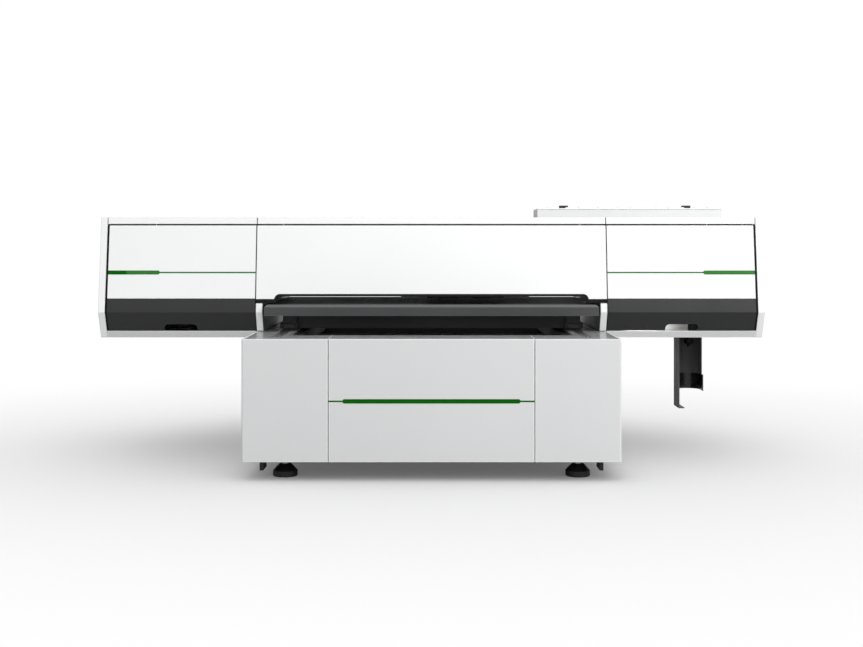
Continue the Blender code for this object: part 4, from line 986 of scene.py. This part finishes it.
def add_tube(bm, points, radius, segments=10):
    """A round tube through the points, closed at both ends."""
    rings = []
    for index, point in enumerate(points):
        before, after = points[max(index - 1, 0)], points[min(index + 1, len(points) - 1)]
        turn = Vector((0, 0, 1)).rotation_difference(Vector(after) - Vector(before)).to_matrix()
        ring = []
        for step in range(segments):
            angle = math.tau * step / segments
            spoke = Vector((radius * math.cos(angle), radius * math.sin(angle), 0.0))
            ring.append(bm.verts.new(Vector(point) + turn @ spoke))
        rings.append(ring)
    for lower, upper in zip(rings, rings[1:]):
        for step in range(segments):
            nxt = (step + 1) % segments
            bm.faces.new((lower[step], lower[nxt], upper[nxt], upper[step]))
    bm.faces.new(list(reversed(rings[0])))
    bm.faces.new(rings[-1])


def sagging(start, end, drop, steps=12):
    """Points of a hose that hangs between two ends."""
    start, end = Vector(start), Vector(end)
    points = []
    for step in range(steps + 1):
        share = step / steps
        point = start.lerp(end, share)
        point.z += drop * 4 * share * (1 - share)
        points.append(tuple(point))
    return points


def head_fittings(finishes):
    """Ink dampers on the heads, their hoses to a bulkhead, and screws round the tray."""
    tray_low, tray_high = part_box("head_carriage")
    dampers, hoses, screws = bmesh.new(), bmesh.new(), bmesh.new()
    bulkhead_y = tray_high.y - 0.020
    for side in ("left", "right"):
        low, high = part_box(side + "_print_head")
        for x in spread(low.x + 0.008, high.x - 0.008, 4):
            y = (low.y + high.y) / 2
            add_box(dampers, (x - 0.0055, y - 0.035, high.z), (x + 0.0055, y + 0.015, high.z + 0.022), 0.0015)
            add_turned(dampers, [(0.0028, 0.0), (0.0028, 0.004), (0.0020, 0.006)], (x, y, high.z + 0.022), (0, 0, 1), 12)
            hose = sagging((x, y, high.z + 0.026), (x, bulkhead_y, tray_high.z - 0.014), 0.020)
            add_tube(hoses, hose, 0.0018)
    new_piece("ink_dampers", dampers, finishes["ink_plastic"], "head")
    new_piece("ink_hoses", hoses, finishes["hose"], "head")
    for x in spread(tray_low.x + 0.014, tray_high.x - 0.014, 6):
        add_cap_screw(screws, (x, tray_low.y, tray_low.z + 0.012), (0, -1, 0), 0.0026, 0.0018)
        add_cap_screw(screws, (x, tray_low.y, tray_high.z - 0.012), (0, -1, 0), 0.0026, 0.0018)
    for side in ("left", "right"):
        low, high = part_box(side + "_uv_lamp")
        for x in (low.x + 0.010, high.x - 0.010):
            for z in (low.z + 0.010, high.z - 0.040):
                add_cap_screw(screws, (x, low.y, z), (0, -1, 0), 0.0026, 0.0018)
    new_piece("head_screws", screws, finishes["screw"], "head")
    bm = bmesh.new()
    add_box(
        bm,
        (tray_low.x + 0.020, bulkhead_y, tray_high.z - 0.030),
        (tray_high.x - 0.020, bulkhead_y + 0.003, tray_high.z - 0.004),
        0.0008,
    )
    new_piece("hose_bulkhead", bm, finishes["aluminium"], "head")


def lamp_windows(finishes):
    """Dark glass in a frame under each curing lamp."""
    bm = bmesh.new()
    for side in ("left", "right"):
        low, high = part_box(side + "_uv_lamp")
        add_box(
            bm,
            (low.x + 0.010, low.y + 0.015, low.z - 0.0012),
            (high.x - 0.010, high.y - 0.015, low.z + 0.0010),
            0.0005,
        )
    new_piece("lamp_windows", bm, finishes["lamp_glass"], "head")


def beam_fittings(finishes):
    """Screws along the beam's rail."""
    low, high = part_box("beam_rail")
    bm = bmesh.new()
    for x in spread(low.x + 0.020, high.x - 0.020, 31):
        profile = [(0.0040, 0.0), (0.0040, 0.0002), (0.0034, 0.0003)]
        add_turned(bm, profile, (x, low.y, (low.z + high.z) / 2), (0, -1, 0), 14)
    new_piece("beam_rail_screws", bm, finishes["dark_screw"], "base")


def screw_thread(finishes):
    """The ball screw's rounded ridge, one turn per coupling lead."""
    low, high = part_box("ball_screw")
    centre_x, centre_z = (low.x + high.x) / 2, (low.z + high.z) / 2
    radius = (high.x - low.x) / 2
    lead = 0.020
    start, end = low.y + 0.045, high.y - 0.045
    per_turn = 20
    steps = int((end - start) / lead * per_turn)
    section = [(-0.0062, -0.0004), (-0.0050, 0.0004), (0.0050, 0.0004), (0.0062, -0.0004)]
    bm = bmesh.new()
    rings = []
    for step in range(steps + 1):
        angle = math.tau * step / per_turn
        y = start + lead * step / per_turn
        ring = []
        for along, out in section:
            reach = radius + out
            place = (centre_x + reach * math.sin(angle), y + along, centre_z + reach * math.cos(angle))
            ring.append(bm.verts.new(place))
        rings.append(ring)
    for lower, upper in zip(rings, rings[1:]):
        for i in range(len(section)):
            j = (i + 1) % len(section)
            bm.faces.new((lower[i], lower[j], upper[j], upper[i]))
    bm.faces.new(list(reversed(rings[0])))
    bm.faces.new(rings[-1])
    new_piece("ball_screw_thread", bm, finishes["rail_steel"], "screw")


def wiper_blade(finishes):
    """Rubber blade in a holder at the capping station's inner rim."""
    low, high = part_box("capping_station")
    middle_y = (low.y + high.y) / 2
    bm = bmesh.new()
    add_box(bm, (low.x - 0.010, middle_y - 0.075, high.z - 0.030), (low.x, middle_y + 0.075, high.z), 0.001)
    add_box(bm, (low.x - 0.006, middle_y - 0.070, high.z), (low.x - 0.0045, middle_y + 0.070, high.z + 0.018), 0.0004, 1)
    new_piece("wiper_blade", bm, finishes["seal"], "base")


def lid_leaves(finishes):
    """Hinge leaves screwed to the ink box lid, at its rear edge beside the black blocks."""
    lid_low, lid_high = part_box("ink_box_lid")
    bm, screws = bmesh.new(), bmesh.new()
    for side, sign in SIDES:
        low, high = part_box(side + "_ink_lid_hinge")
        add_box(
            bm,
            (low.x + 0.001, lid_high.y - 0.026, lid_high.z),
            (high.x - 0.001, lid_high.y - 0.0005, lid_high.z + 0.0012),
            0.0005,
        )
        for x in (low.x + 0.007, high.x - 0.007):
            add_cap_screw(screws, (x, lid_high.y - 0.017, lid_high.z + 0.0012), (0, 0, 1), 0.0022, 0.0012)
    new_piece("lid_hinge_leaves", bm, finishes["black_plastic"], "ink_lid")
    new_piece("lid_hinge_screws", screws, finishes["screw"], "ink_lid")


# ---------------------------------------------------------------- feet


def foot_nuts(finishes):
    """Hexagon lock nuts on the levelling feet."""
    for end in ENDS:
        for side, sign in SIDES:
            name = end + "_" + side + "_foot"
            low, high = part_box(name)
            x, y = (low.x + high.x) / 2, (low.y + high.y) / 2
            hexagon = [(0.0105, 0.0), (0.0118, 0.0008), (0.0118, 0.0072), (0.0105, 0.0080)]
            bm = bmesh.new()
            for z in (FOOT_CONE_TOP - 0.0004, high.z - 0.0085):
                add_turned(bm, hexagon, (x, y, z), (0, 0, 1), 6)
            new_piece(name + "_nut", bm, finishes["screw"], name, smooth_angle=20)


# ---------------------------------------------------------------- stage


def make_floor():
    """Pale floor that fades into the white backdrop, and bounces less light than it shows."""
    bm = bmesh.new()
    bmesh.ops.create_grid(bm, x_segments=1, y_segments=1, size=FLOOR_HALF)
    mesh = bpy.data.meshes.new("floor")
    bm.to_mesh(mesh)
    bm.free()
    recipe = Recipe("floor", 0.9)
    seen = recipe.add("ShaderNodeLightPath").outputs["Is Camera Ray"]
    pale = recipe.mix(recipe.noise(0.8), (0.90, 0.90, 0.90), (0.92, 0.92, 0.92))
    recipe.colour(recipe.mix(seen, (FLOOR_BOUNCE,) * 3, pale))
    recipe.feed(recipe.shader.inputs["Specular IOR Level"], 0.1)
    mapping = recipe.add("ShaderNodeMapping", {"Vector": recipe.place, "Scale": (0.75, 1.0, 1.0)})
    reach = recipe.add("ShaderNodeVectorMath", {0: mapping.outputs["Vector"]}, operation="LENGTH")
    # Painted light: near the machine the floor glows at FLOOR_GLOW, which lifts the shade under the cabinet;
    # farther off it glows full white as backdrop.
    fade = recipe.remap(reach.outputs["Value"], FADE_START, FADE_END, FLOOR_GLOW, 1.0)
    fade.node.interpolation_type = "SMOOTHSTEP"
    glow = recipe.add("ShaderNodeEmission", {"Color": (1.0, 1.0, 1.0, 1.0), "Strength": 1.0})
    blend = recipe.add("ShaderNodeMixShader", {"Fac": recipe.maths("MULTIPLY", fade, seen)})
    recipe.tree.links.new(recipe.shader.outputs["BSDF"], blend.inputs[1])
    recipe.tree.links.new(glow.outputs["Emission"], blend.inputs[2])
    recipe.tree.links.new(blend.outputs["Shader"], recipe.tree.nodes["Material Output"].inputs["Surface"])
    mesh.materials.append(recipe.material)
    floor = bpy.data.objects.new("floor", mesh)
    bpy.context.scene.collection.objects.link(floor)


def area_light(name, place, aim, size, power, receivers=None):
    """A soft lamp the camera doesn't see, which may light only the objects of a collection."""
    data = bpy.data.lights.new(name, "AREA")
    data.shape = "RECTANGLE"
    data.size, data.size_y = size
    data.energy = power
    lamp = bpy.data.objects.new(name, data)
    lamp.location = place
    lamp.rotation_euler = (Vector(aim) - Vector(place)).to_track_quat("-Z", "Y").to_euler()
    lamp.visible_camera = False
    lamp.light_linking.receiver_collection = receivers
    bpy.context.scene.collection.objects.link(lamp)


def make_world():
    """A white backdrop to the camera; to the object, a soft studio brighter at the top and right."""
    world = bpy.data.worlds.new("studio")
    world.use_nodes = True
    tree = world.node_tree
    background = tree.nodes["Background"]

    def add(kind, inputs, operation=None):
        made = tree.nodes.new(kind)
        if operation:
            made.operation = operation
        for socket, value in inputs.items():
            if isinstance(value, bpy.types.NodeSocket):
                tree.links.new(value, made.inputs[socket])
            else:
                made.inputs[socket].default_value = value
        return made

    towards = tree.nodes.new("ShaderNodeTexCoord").outputs["Generated"]
    slope = add("ShaderNodeVectorMath", {0: towards, 1: SKY_SLOPE}, "DOT_PRODUCT").outputs["Value"]
    level = add("ShaderNodeMath", {0: slope, 1: SKY_LEVEL}, "ADD").outputs[0]
    seen = tree.nodes.new("ShaderNodeLightPath").outputs["Is Camera Ray"]
    strength = add("ShaderNodeMath", {0: level, 1: seen}, "MAXIMUM").outputs[0]
    tree.links.new(strength, background.inputs["Strength"])
    background.inputs["Color"].default_value = (1.0, 1.0, 1.0, 1.0)
    bpy.context.scene.world = world


def machine_collection():
    """Every piece of the machine, without the floor, so that the lamps leave the floor's soft shade."""
    machine = bpy.data.collections.new("machine")
    for obj in bpy.data.objects:
        if obj.type == "MESH" and obj.name != "floor":
            machine.objects.link(obj)
    return machine


def make_light():
    make_world()
    machine = machine_collection()
    area_light("key", KEY_AT, (0.5, 0.0, 0.4), (2.0, 2.0), KEY_POWER, machine)
    area_light("fill", FILL_AT, (0.0, 0.0, 0.3), (3.0, 2.0), FILL_POWER, machine)
    station_low, station_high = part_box("capping_station")
    middle = (station_low.x * 0.75 + station_high.x * 0.25, station_low.y, station_low.z + 0.02)
    glow_at = (middle[0], station_low.y - 0.045, station_low.z + 0.07)
    area_light("pod_glow", glow_at, middle, (0.05, 0.02), POD_GLOW)
    bed_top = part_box("vacuum_table")[1].z
    over_bed, on_bed = (0.0, BED_GLOW_Y, bed_top + 0.05), (0.0, BED_GLOW_Y, bed_top)
    area_light("bed_glow", over_bed, on_bed, (0.90, 0.02), BED_GLOW)
    bpy.context.scene.view_settings.view_transform = "Standard"


def make_camera():
    """A level camera with a shifted lens, so that upright edges stay parallel."""
    data = bpy.data.cameras.new("camera")
    data.sensor_width = 36.0
    data.lens = 52.1
    data.shift_y = -0.091
    camera = bpy.data.objects.new("camera", data)
    camera.location = (0.0, -4.118, 0.6526)
    camera.rotation_euler = (math.radians(90.0), 0.0, 0.0)
    bpy.context.scene.collection.objects.link(camera)
    bpy.context.scene.camera = camera


finishes = make_finishes()
refine_nodes(finishes)
door_stripes(finishes)
base_stripe(finishes)
cover_seal(finishes)
door_gaskets(finishes)
seam_seals(finishes)
nozzle_sleeve(finishes)
holder_hoop(finishes)
panel_screws(finishes)
louvres(finishes)
power_inlet(finishes)
cover_ribs(finishes)
head_fittings(finishes)
lamp_windows(finishes)
beam_fittings(finishes)
screw_thread(finishes)
wiper_blade(finishes)
lid_leaves(finishes)
plate_seams(finishes)
rail_screws(finishes)
bearing_seals(finishes)
bed_holes(finishes)
foot_nuts(finishes)
make_floor()
make_light()
make_camera()
